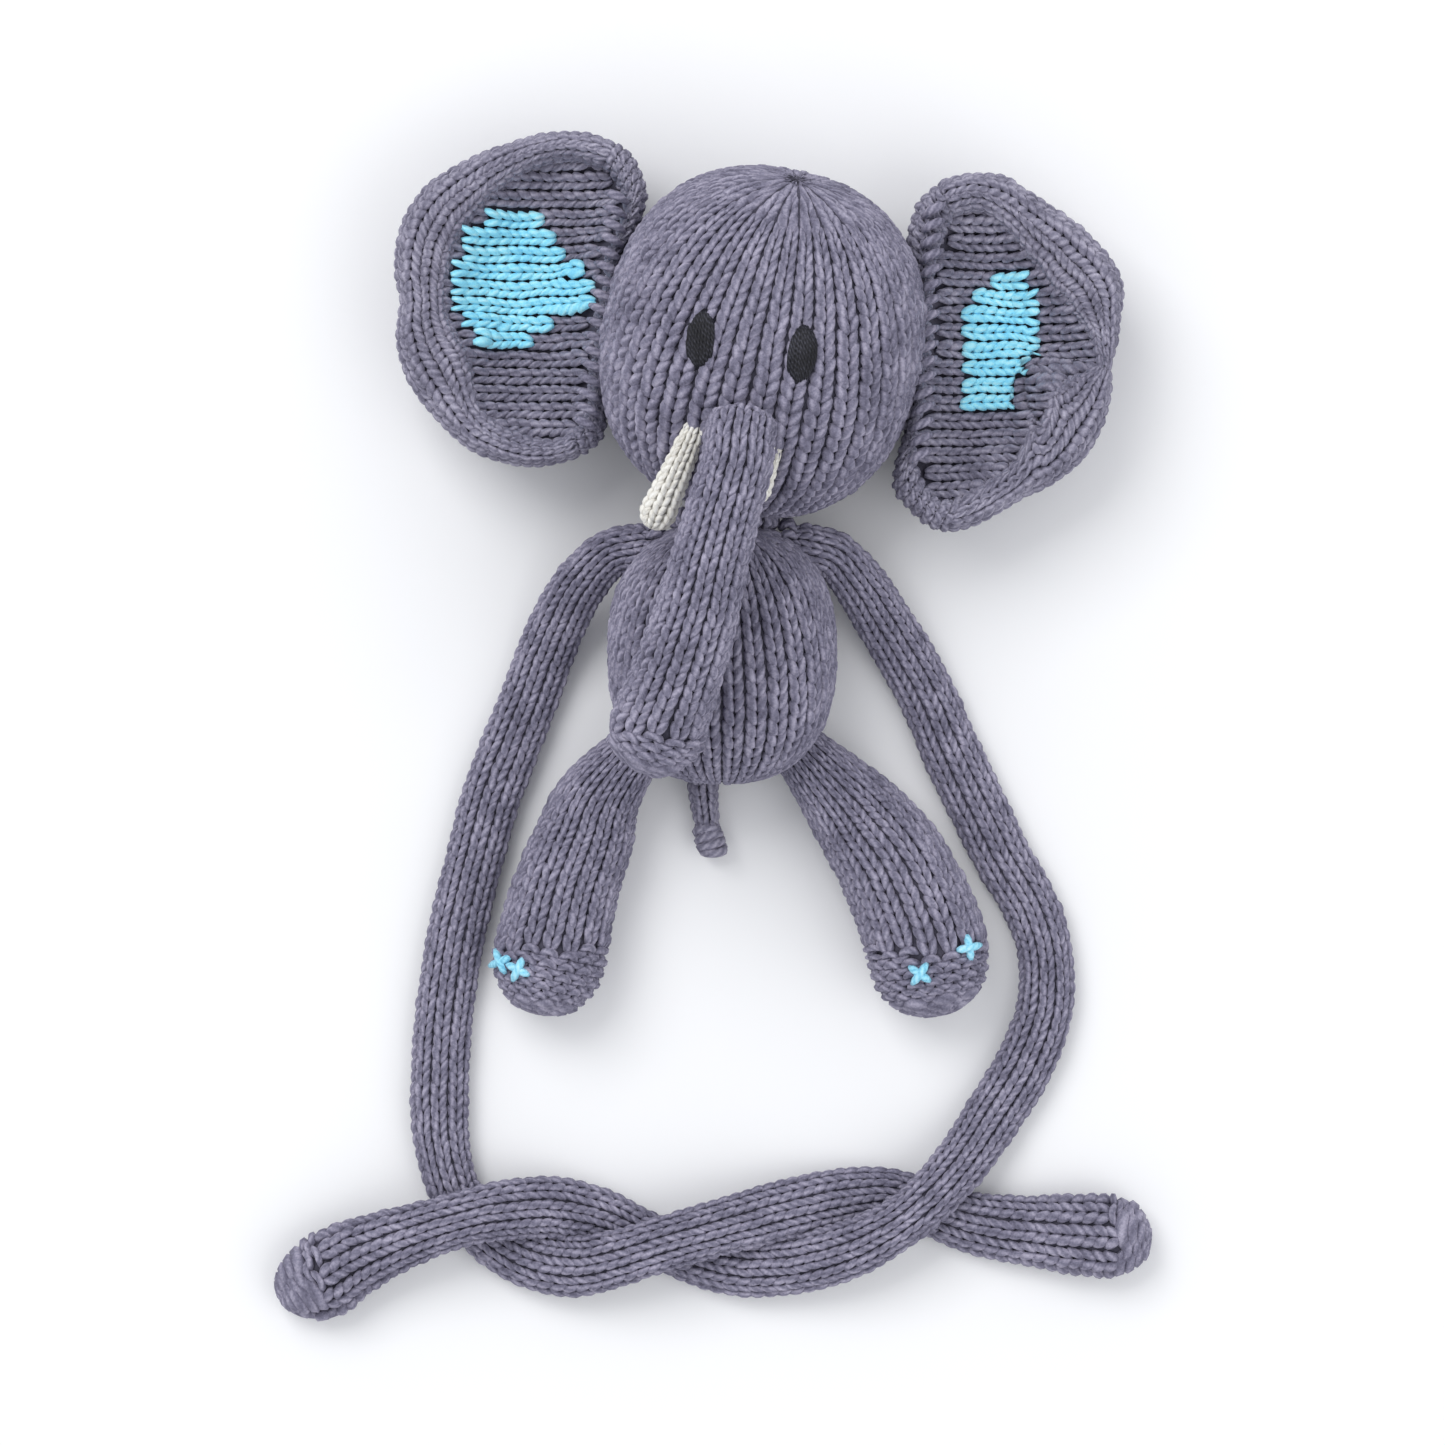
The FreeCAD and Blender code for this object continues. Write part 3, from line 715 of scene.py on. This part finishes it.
def make_piece(name, arrays, material, nodes=()):
    """Mesh object from millimetre arrays, with its bake and ply coordinates."""
    vertices, faces, cells, ply = arrays
    vertices = np.array(vertices, float)
    vertices[:, 2] = np.maximum(vertices[:, 2], FLOOR_CLEARANCE)
    mesh = bpy.data.meshes.new(name)
    mesh.vertices.add(len(vertices))
    mesh.vertices.foreach_set("co", (vertices * MM).astype(np.float32).ravel())
    mesh.loops.add(faces.size)
    mesh.loops.foreach_set("vertex_index", faces.astype(np.int32).ravel())
    mesh.polygons.add(len(faces))
    mesh.polygons.foreach_set("loop_start", np.arange(0, faces.size, 4, dtype=np.int32))
    mesh.update(calc_edges=True)
    corners = faces.ravel()
    low, high = cells.min(axis=0), cells.max(axis=0)
    layers = (("OFBake", (cells - low) / (high - low + 1e-6)), ("Ply", ply))
    for layer, values in layers:
        mesh.uv_layers.new(name=layer).data.foreach_set("uv", values[corners].astype(np.float32).ravel())
    mesh.polygons.foreach_set("use_smooth", np.ones(len(faces), bool))
    mesh.materials.append(material)
    piece = bpy.data.objects.new(name, mesh)
    bpy.context.scene.collection.objects.link(piece)
    if nodes:
        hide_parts(*nodes)
    return piece


def make_form(name, arrays, nodes=(), material=SHADE):
    """Piece that shows between the stitches over it, by default in the dark painted shade that stands in
    for the shade in the gaps.
    """
    return make_piece(name, arrays, material, nodes)


def blend(pieces):
    """Pieces with their transforms baked into their vertices."""
    for piece in pieces:
        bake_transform(piece)


def make_two_parts(name, knit, form, covers, fillings):
    """Grey knit of a length of limb and the form under it."""
    cover = make_piece(name + "_knit", knit, GREY, covers)
    # The form carries the dark painted shade that fills the gaps between the stitches.
    shade_piece = make_form(name + "_form", form, fillings)
    blend((cover, shade_piece))
    return shade_piece


def outward_sign(place, u, v, centre):
    """1 where a surface's normals point away from a centre, else -1."""
    points, normals, _ = slopes(place, np.array([u]), np.array([v]))
    return 1.0 if float(((points - np.array(centre)) * normals).sum()) > 0 else -1.0


def ball_cells(wales, rows):
    """Cells of a ball by their width in wales: wider near the poles, so that the stitches don't shrink."""
    zones = {1: [], 2: [], 4: []}
    for row in range(rows - 1):
        narrow = math.sin(math.pi * (row + 0.5) / rows)
        span = 1 if narrow > 0.46 else 2 if narrow > 0.2 else 4
        middles = (np.arange(wales // span) + 0.5) * span
        zones[span].append(np.stack([middles, np.full(len(middles), float(row))], axis=1))
    return {span: np.concatenate(cells) for span, cells in zones.items() if cells}


def knit_ball(place, wales, rows, aspect, outward, keep=None):
    """Stitches all over a ball. keep says which points have one."""
    parts = []
    for span, cells in ball_cells(wales, rows).items():
        template = plain_stitch(aspect / span)
        if keep is not None:
            cells = cells[keep(place(cells[:, 0], cells[:, 1]))]
        if len(cells):
            u, v = cells[:, 0], cells[:, 1] + 1
            parts.append(lay(place, template, u, v, -aspect / span, outward, span))
    return joined(parts)


def tube_cells(wales, first, last):
    """Middles and rows of a tube's cells."""
    u, v = np.meshgrid(np.arange(wales) + 0.5, np.arange(first, last, dtype=float))
    return u.ravel(), v.ravel()


def knit_tube(place, wales, first, last, aspect, outward, purl=None, tip=None):
    """Stitches round a tube from row first to row last.

    purl says which points are bumps. From row tip on, stitches are two wales wide.
    """
    u, v = tube_cells(wales, first, last)
    span = np.ones(len(u))
    if tip is not None:
        late = v >= tip
        fewer = late & (u % 2 < 1)
        span[late] = 2
        chosen = ~late | fewer
        u, v, span = u[chosen], v[chosen], span[chosen]
        u = np.where(span == 2, u + 0.5, u)
    bumpy = purl(place(u, v)) if purl is not None else np.zeros(len(u), bool)
    parts = []
    for width in (1, 2):
        slope = aspect / width
        for is_purl, template in ((False, plain_stitch), (True, purl_stitch)):
            some = (span == width) & (bumpy == is_purl)
            if some.any():
                parts.append(lay(place, template(slope), u[some], v[some] + 1, -slope, outward, width))
    return joined(parts)


def thread(paths, radius, name, material, nodes, body):
    """One piece, riding on a body, out of several strands of sewing yarn, each a list of points."""
    parts = []
    for path in paths:
        path = np.array(path, float)
        radii = np.full(len(path), radius)
        radii[0] = radii[-1] = 0.6 * radius
        vertices, quads, along = tube(path, radii)
        along = along * np.array([0.35 / radius, 1.0])
        parts.append((vertices, quads, along * 0.1, along))
    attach(make_piece(name, joined(parts), material, nodes), body)


def whip_ring(centre, radius, count, axes, steps):
    """Whip stitches in a ring about the first of three axes.

    steps has each point of a stitch as offsets along that axis, outwards and around.
    """
    forward, first, second = (np.array(axis, float) for axis in axes)
    stitches = []
    for index in range(count):
        turn = 2 * math.pi * index / count
        out = first * math.cos(turn) + second * math.sin(turn)
        around = second * math.cos(turn) - first * math.sin(turn)
        spot = np.array(centre) + out * radius
        stitches.append([spot + forward * a + out * b + around * c for a, b, c in steps])
    return stitches


# ------ head


LEAN_COSINE = math.cos(math.radians(HEAD_LEAN))
LEAN_SINE = math.sin(math.radians(HEAD_LEAN))


def head_shares(x, y):
    """Place on the head along its own leaning axes, in shares of its halves, and the height's share."""
    dx, dy = x - HEAD_CENTRE[0], y - HEAD_CENTRE[1]
    across = (dx * LEAN_COSINE + dy * LEAN_SINE) / HEAD_HALVES[0]
    along = (-dx * LEAN_SINE + dy * LEAN_COSINE) / HEAD_HALVES[1]
    return across, along, math.sqrt(max(0.0, 1 - across ** 2 - along ** 2))


def on_head(x, y):
    """Point of the head's front above x, y and the normal there."""
    shares = head_shares(x, y)
    slope = [share / half for share, half in zip(shares, HEAD_HALVES)]
    normal = unit(np.array([
        slope[0] * LEAN_COSINE - slope[1] * LEAN_SINE, slope[0] * LEAN_SINE + slope[1] * LEAN_COSINE,
        slope[2],
    ]))
    return np.array([x, y, HEAD_CENTRE[2] + HEAD_HALVES[2] * shares[2]]), normal


def make_head():
    place = ball_surface(
        HEAD_CENTRE, HEAD_HALVES, HEAD_SQUARENESS, HEAD_LEAN, head_shares(*CROWN), HEAD_WALES, HEAD_ROWS,
    )
    outward = outward_sign(place, 3.3, 20.0, HEAD_CENTRE)

    def upper(points):
        return points[:, 2] >= HEAD_SPLIT_Z

    def under(points):
        return points[:, 2] < HEAD_SPLIT_Z

    for half in (upper, under):
        arrays = knit_ball(place, HEAD_WALES, HEAD_ROWS, HEAD_ASPECT, outward, half)
        name = "head_knit_" + half.__name__
        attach(make_piece(name, arrays, GREY, ("head_cover",)), "head")
    arrays = skin(place, HEAD_WALES, 0.3, HEAD_ROWS - 0.3, outward)
    # Dark form under the stitches: painted shade for the gaps between them.
    form = make_form("head_painted_shade_form", arrays, ("head_stuffing",))
    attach(form, "head")
    crown, normal = on_head(*CROWN)
    loops = []
    for index in range(CROWN_LOOPS):
        turn = 2 * math.pi * index / CROWN_LOOPS
        side = unit(np.cross(normal, (math.cos(turn), math.sin(turn), 0.0)))
        steps = ((0.8, -0.8), (2.6, 0.5), (5.0, -0.6), (6.6, -2.2))
        loops.append([crown + side * out + normal * rise for out, rise in steps])
    thread(loops, WRAP_RADIUS, "crown_gathering_yarn", GREY, ("crown_gather",), "head")


def make_eye(side):
    """Satin stitch: strands side by side over a low dome, drawn in at both ends."""
    middle, normal = on_head(*EYES[side])
    lean = math.radians(HEAD_LEAN / 2)
    along = np.array([-math.sin(lean), math.cos(lean), 0.0])
    along = unit(along - normal * (along @ normal))
    across = np.cross(along, normal)
    wide, long, high = EYE_HALVES
    strands = []
    for at in np.linspace(-0.9, 0.9, EYE_STRANDS):
        reach = long * math.sqrt(1 - 0.62 * at * at) * rng.normal(1, 0.03)
        wander = rng.normal(0, 0.12)
        path = []
        for t in np.linspace(-1, 1, 12):
            gather = math.sqrt(1 - 0.5 * t * t)
            rise = high * math.sqrt(max(0.0, 1 - t * t)) * math.sqrt(1 - 0.8 * at * at)
            path.append(
                middle + across * (wide * at * gather + wander * t) + along * reach * t
                + normal * (rise - 0.3)
            )
        strands.append(path)
    name = "eye_" + side
    thread(strands, EYE_THREAD_RADIUS, name + "_satin", BLACK, (name,), "head")


# ------ ears


def hollow_arrays(side):
    """Rings of the form under an ear's lining, from its middle to past its edge."""
    centre = EAR_CENTRES[side]
    angles = np.linspace(0, 360, 73)[:-1]
    shares = np.linspace(0.02, 1.08, 22)
    reach = shares[:, None] * outline_reader(EAR_INNER[side], np.array(centre))(angles)[None]
    x = centre[0] + reach * np.cos(np.radians(angles))[None]
    y = centre[1] + reach * np.sin(np.radians(angles))[None]
    z = np.broadcast_to((lining_height(shares) - 0.4)[:, None], x.shape)
    points = np.stack([x, y, z], axis=-1).reshape(-1, 3)
    columns = len(angles)
    faces = []
    for ring in range(len(shares) - 1):
        low, high = ring * columns, (ring + 1) * columns
        for column in range(columns):
            after = (column + 1) % columns
            faces.append((low + column, high + column, high + after, low + after))
    cells = points[:, :2].copy()
    return points, np.array(faces), cells, cells * 0.05


def make_ear(side):
    body = "ear_" + side
    place, wales, rows, angle_of = ear_surface(side)
    outward = outward_sign(place, 4.5, 5.0, (*EAR_CENTRES[side], 0.0))
    low, high = EAR_SEAM_SIDE[side]
    u, v = tube_cells(EAR_KNIT_WALES, 0, rows)
    at = angle_of(v + 0.5)
    near_head = ((at - low) % 360 < high - low) & (u < EAR_PURL_WALES)
    aspect = EAR_ROW / EAR_WALE
    parts = []
    for chosen, template in ((~near_head, plain_stitch), (near_head, purl_stitch)):
        parts.append(lay(place, template(aspect), u[chosen], v[chosen], aspect, outward))
    rim = make_piece(body + "_rolled_rim", joined(parts), EAR_GREY, (body + "_back",))
    # Painted shade under the rolled rim's stitches.
    back = make_form(body + "_back_form", skin(place, wales, 0, rows, outward, closed=False))

    hollow, share_of = lining_surface(side)
    u, v = np.meshgrid(np.arange(-11.0, 12.0), np.arange(-18.0, 19.0))
    u, v = u.ravel(), v.ravel()
    kept = share_of(u, v) < 1.04
    u, v = u[kept], v[kept]
    spots = hollow(u, v)
    blue = inside(PATCHES[side], spots[:, 0], spots[:, 1])
    up = outward_sign(hollow, 0.0, 0.0, (*EAR_CENTRES[side], -50.0))
    aspect = LINING_ROW / LINING_WALE
    template = plain_stitch(aspect)
    grey = lay(hollow, template, u[~blue], v[~blue], aspect, up, lift=1.8)
    lining = make_piece(body + "_lining_knit", grey, EAR_GREY, (body + "_lining",))
    knitted = lay(hollow, template, u[blue], v[blue], aspect, up, lift=3.2)
    patch = make_piece(body + "_blue_patch", knitted, BLUE, (body + "_patch",))
    # Painted shade under the lining's stitches.
    under = make_form(body + "_hollow_form", hollow_arrays(side))

    seam_low, seam_high = (np.array(end) for end in EAR_SEAMS[side])
    away = -1.0 if side == "left" else 1.0
    blend((rim, back, lining, patch, under))
    whip = []
    for share in np.linspace(0.03, 0.97, EAR_SEAM_STITCHES):
        spot = seam_low + (seam_high - seam_low) * share
        whip.append([spot + (2.6 * away, 1.2, -1.4), spot + (1.2 * away, 0.5, 1.6),
                     spot + (-1.2 * away, -0.6, 1.7), spot + (-2.8 * away, -1.6, -0.6)])
    thread(whip, SEWING_RADIUS, body + "_whip_stitches", GREY, (body + "_seam",), "head")


# ------ body and neck


def make_body():
    pole = (0.0, 1.0, 0.35)
    place = ball_surface(BODY_CENTRE, BODY_HALVES, BODY_SQUARENESS, 0.0, pole, BODY_WALES, BODY_ROWS)
    outward = outward_sign(place, 3.3, 14.0, BODY_CENTRE)
    arrays = knit_ball(place, BODY_WALES, BODY_ROWS, BODY_ASPECT, outward)
    cover = make_piece("body_knit", arrays, GREY, ("body_cover",))
    arrays = skin(place, BODY_WALES, 0.3, BODY_ROWS - 0.3, outward)
    # Dark form under the stitches: painted shade for the gaps between them.
    form = make_form("body_painted_shade_form", arrays, ("body_stuffing",))
    blend((cover, form))
    axes = ((0, 1, 0), (1, 0, 0), (0, 0, 1))
    steps = ((-2.6, -1, 0), (-1.2, 0.9, 0), (1.2, 0.9, 1), (2.6, -1, 1))
    stitches = whip_ring(NECK, NECK_RADIUS, NECK_STITCHES, axes, steps)
    nodes = ("neck_seam", "neck_stuffing")
    thread(stitches, SEWING_RADIUS, "neck_whip_stitches", GREY, nodes, "neck")


# ------ trunk and tusks


def make_trunk():
    stations = [(x, y, z, r, r) for x, y, z, r in TRUNK]
    place, rows, straight = limb_surface(
        stations, TRUNK_DOME, TRUNK_WALES, TRUNK_ROW, turn_by=0.04, root_dome=TRUNK_ROOT_DOME,
    )
    outward = outward_sign(place, 3.3, 8.0, stations[2][:3])
    split = TRUNK_SPLIT_ROW

    def cap(points):
        return points[:, 1] < TRUNK_CAP_Y

    root = knit_tube(place, TRUNK_WALES, -2, split, TRUNK_ASPECT, outward)
    tip = int(straight + 3)
    length = knit_tube(place, TRUNK_WALES, split, int(rows), TRUNK_ASPECT, outward, cap, tip)
    root_skin = skin(place, TRUNK_WALES, -1.5, split + 0.5, outward)
    length_skin = skin(place, TRUNK_WALES, split - 0.5, rows - 0.1, outward)
    make_two_parts("trunk_base", root, root_skin, ("trunk_upper_cover",), ("trunk_upper_stuffing",))
    form = make_two_parts(
        "trunk_length", length, length_skin, ("trunk_lower_cover", "trunk_tip_cap"),
        ("trunk_lower_stuffing",),
    )


def make_tusk(side):
    root, end = (np.array(values) for values in TUSKS[side])
    slim, full = TUSK_RADII[side]
    stations = []
    for share in np.linspace(0, 1, TUSK_STATIONS):
        radius = slim + (full - slim) * share
        stations.append((*(root + (end - root) * share), radius, radius))
    place, rows, _ = limb_surface(stations, full, TUSK_WALES, TUSK_ROW, root_dome=2.5)
    outward = outward_sign(place, 1.3, 4.0, stations[2][:3])
    name = "tusk_" + side
    arrays = knit_tube(place, TUSK_WALES, -1, int(rows), TUSK_ASPECT, outward)
    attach(make_piece(name + "_knit", arrays, CREAM, (name,)), name)
    arrays = skin(place, TUSK_WALES + 1, -1, rows - 0.2, outward)
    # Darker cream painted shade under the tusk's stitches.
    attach(make_form(name + "_form", arrays, material=CREAM_SHADE), name)


# ------ arms


def arm_stations(side):
    """Stations with half heights: flat along the arm, thicker at the hand."""
    stations = []
    for x, y, z, half in ARMS[side]:
        swell = min(1, max(0.0, half - FLAT_HALF_WIDTH) / HAND_WIDENING)
        high = ARM_HALF_THICKNESS + (HAND_HALF_THICKNESS - ARM_HALF_THICKNESS) * swell
        stations.append((x, y, z, half, high))
    return stations


def make_arm(side):
    stations = arm_stations(side)
    place, rows, straight = limb_surface(
        stations, HAND_DOME[side], ARM_WALES, ARM_ROW, ARM_FLATNESS, turn_by=0.06,
    )
    centre = place(np.array([0.0, 4.0]), np.array([40.0, 40.0])).mean(axis=0)
    outward = outward_sign(place, 2.0, 40.0, centre)
    middles = place(np.zeros(int(rows)), np.arange(int(rows), dtype=float))
    split = int(np.argmax(middles[:, 1] < ARM_ROOT_END_Y))
    away = 1.0 if side == "left" else -1.0

    def hand(points):
        beyond = away * points[:, 0] > away * HAND_START[side]
        return beyond & (points[:, 1] < HANDS_BELOW_Y)

    name = "arm_" + side
    root = knit_tube(place, ARM_WALES, -3, split, ARM_ASPECT, outward)
    tip = int(straight + 2)
    length = knit_tube(place, ARM_WALES, split, int(rows), ARM_ASPECT, outward, hand, tip)
    root_skin = skin(place, ARM_WALES, -3, split + 0.5, outward)
    length_skin = skin(place, ARM_WALES, split - 0.5, rows - 0.1, outward)
    shoulder = stations[0][:3]
    make_two_parts(name + "_root", root, root_skin, (name + "_upper_cover",), (name + "_upper_stuffing",))
    form = make_two_parts(
        name + "_length", length, length_skin, (name + "_lower_cover", name + "_hand"),
        (name + "_lower_stuffing",),
    )
    seam = np.array(shoulder) + (SHOULDER_SEAM_REACH * away, 0, 0)
    axes = ((1, 0, 0), (0, 1, 0), (0, 0, 1))
    steps = ((2.0, -1, 0), (0.6, 1, 0), (-0.8, 1, 0), (-2.2, -0.4, 0))
    whip = whip_ring(seam, SHOULDER_SEAM_RADIUS, SHOULDER_STITCHES, axes, steps)
    thread(whip, LIMB_SEWING_RADIUS, name + "_shoulder_stitches", GREY,
           (name + "_shoulder_seam",), name + "_upper")


# ------ legs


def hip_stitches(hip):
    """Whip stitches in a ring where a leg meets the body."""
    inward = unit(np.array(BODY_CENTRE) - hip)
    around = unit(np.cross(inward, (0.0, 0.0, 1.0)))
    third = np.cross(inward, around)
    steps = ((-2, -1, 0), (-0.6, 0.8, 0), (0.8, 0.8, 0), (2, -1, 0))
    centre = hip + inward * HIP_SEAM_REACH
    return whip_ring(centre, HIP_SEAM_RADIUS, HIP_STITCHES, (inward, around, third), steps)


def toe_crosses(side, foot):
    """Two strands a toe, laid over the foot's dome, the second one a little higher where they cross."""
    x_middle, y_middle, z_middle, half, high = foot
    crosses = []
    for x, y, spin in TOES[side]:
        for angle in (-45, 45):
            turn = math.radians(angle + spin)
            path = []
            for t in np.linspace(-1, 1, 7):
                px = x + TOE_HALF_LENGTH * t * math.cos(turn)
                py = y + TOE_HALF_LENGTH * t * math.sin(turn)
                offset = (px - x_middle) / half
                back = min(0.0, py - y_middle) / FOOT_DOME
                rise = math.sqrt(max(0.04, 1 - offset * offset - back * back))
                bow = 1 - t ** 4 + (0.5 if angle > 0 else 0.0) * (1 - abs(t))
                path.append((px, py, z_middle + high * rise + bow - 0.3))
            crosses.append(path)
    return crosses


def make_leg(side):
    stations = []
    for index, (x, y, half) in enumerate(LEGS[side]):
        high = half * LEG_FLATNESS
        z = HIP_Z if index == 0 else max(high, HIP_Z - index)
        stations.append((x, y, z, half, high))
    place, rows, straight = limb_surface(
        stations, FOOT_DOME, LEG_WALES, LEG_ROW, LEG_FLATNESS, turn_by=0.03,
    )
    outward = outward_sign(place, 3.3, 8.0, stations[2][:3])

    def foot(points):
        return points[:, 1] < FOOT_CAP_Y

    name = "leg_" + side
    foot_name = "foot_" + side
    tip = int(straight + 4)
    arrays = knit_tube(place, LEG_WALES, -2, int(rows), LEG_ASPECT, outward, foot, tip)
    surface = skin(place, LEG_WALES, -2.5, rows - 0.1, outward)
    cover = make_piece(name + "_knit", arrays, GREY, (name + "_cover", foot_name + "_cap"))
    # Painted shade under the leg's stitches.
    form = make_form(name + "_form", surface, (name + "_stuffing",))
    hip = np.array(stations[0][:3])
    blend((cover, form))
    thread(hip_stitches(hip), LIMB_SEWING_RADIUS, name + "_hip_stitches", GREY,
           (name + "_hip_seam",), "hip_" + side)
    thread(toe_crosses(side, stations[-1]), LIMB_SEWING_RADIUS, foot_name + "_toe_crosses", PALE_BLUE,
           (foot_name + "_toes",), name)


# ------ tail


def make_tail():
    stations = [(x, y, z, r, r) for x, y, z, r in TAIL]
    place, rows, _ = limb_surface(stations, TAIL_DOME, TAIL_WALES, TAIL_ROW)
    outward = outward_sign(place, 1.3, 3.0, stations[1][:3])
    arrays = knit_tube(place, TAIL_WALES, -1, int(rows), TAIL_ASPECT, outward)
    cord = make_piece("tail_knit", arrays, EAR_GREY, ("tail_cord",))
    # Painted shade under the tail's stitches.
    form = make_form("tail_form", skin(place, TAIL_WALES + 1, -1, rows - 0.1, outward))
    blend((cord, form))
    knot = ball_surface(TAIL_KNOT, KNOT_HALVES, 2.0, 0.0, (0.0, 1.0, 0.2), 8, 8)
    sign = outward_sign(knot, 3.3, 4.0, TAIL_KNOT)
    arrays = skin(knot, 8, 0.2, 7.8, sign, 0.0)
    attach(make_form("tail_knot_form", arrays, material=EAR_GREY), "tail")
    wraps = []
    for index in range(KNOT_WRAPS):
        spot = np.array(TAIL_KNOT) + (0.5 * index - 0.8, 2.2 - 1.5 * index, 0.0)
        path = []
        for turn in np.linspace(0, 2 * math.pi, 15):
            path.append(spot + (2.9 * math.cos(turn), math.sin(turn + index), 2.5 * math.sin(turn)))
        wraps.append(path)
    thread(wraps, WRAP_RADIUS, "tail_knot_yarn", EAR_GREY, ("tail_knot",), "tail")


# ------ stage


def make_stage():
    size = 6.0
    corners = [(-size, -size, 0), (size, -size, 0), (size, size, 0), (-size, size, 0)]
    mesh = bpy.data.meshes.new("floor")
    mesh.from_pydata(corners, [], [(0, 1, 2, 3)])
    floor = bpy.data.objects.new("floor", mesh)
    bpy.context.scene.collection.objects.link(floor)
    paint = bpy.data.materials.new("pale_table")
    paint.use_nodes = True
    shader = paint.node_tree.nodes["Principled BSDF"]
    shader.inputs["Base Color"].default_value = (0.86, 0.86, 0.87, 1)
    shader.inputs["Roughness"].default_value = 0.9
    mesh.materials.append(paint)
    world = bpy.data.worlds.new("studio")
    bpy.context.scene.world = world
    world.use_nodes = True
    world.node_tree.nodes["Background"].inputs["Color"].default_value = (0.95, 0.97, 1.0, 1)
    world.node_tree.nodes["Background"].inputs["Strength"].default_value = 0.8
    for name, place, width, power in LAMPS:
        data = bpy.data.lights.new(name, "AREA")
        data.size = width
        data.energy = power
        lamp = bpy.data.objects.new(name, data)
        bpy.context.scene.collection.objects.link(lamp)
        lamp.location = place
        aim = np.array([0.0, 0.0, 0.03]) - np.array(place)
        tilt = math.atan2(math.hypot(aim[0], aim[1]), -aim[2])
        lamp.rotation_euler = (tilt, 0.0, math.atan2(aim[1], aim[0]) - math.pi / 2)
    camera = bpy.data.cameras.new("camera")
    camera.lens = 135
    camera.sensor_width = 36
    camera.clip_start = 0.05
    camera.clip_end = 20
    eye = bpy.data.objects.new("camera", camera)
    bpy.context.scene.collection.objects.link(eye)
    eye.location = CAMERA_PLACE
    bpy.context.scene.camera = eye
    bpy.context.scene.view_settings.view_transform = "Standard"


make_head()
for which in EYES:
    make_eye(which)
make_body()
make_trunk()
make_tail()
for which in ARMS:
    make_ear(which)
    make_tusk(which)
    make_arm(which)
    make_leg(which)
make_stage()
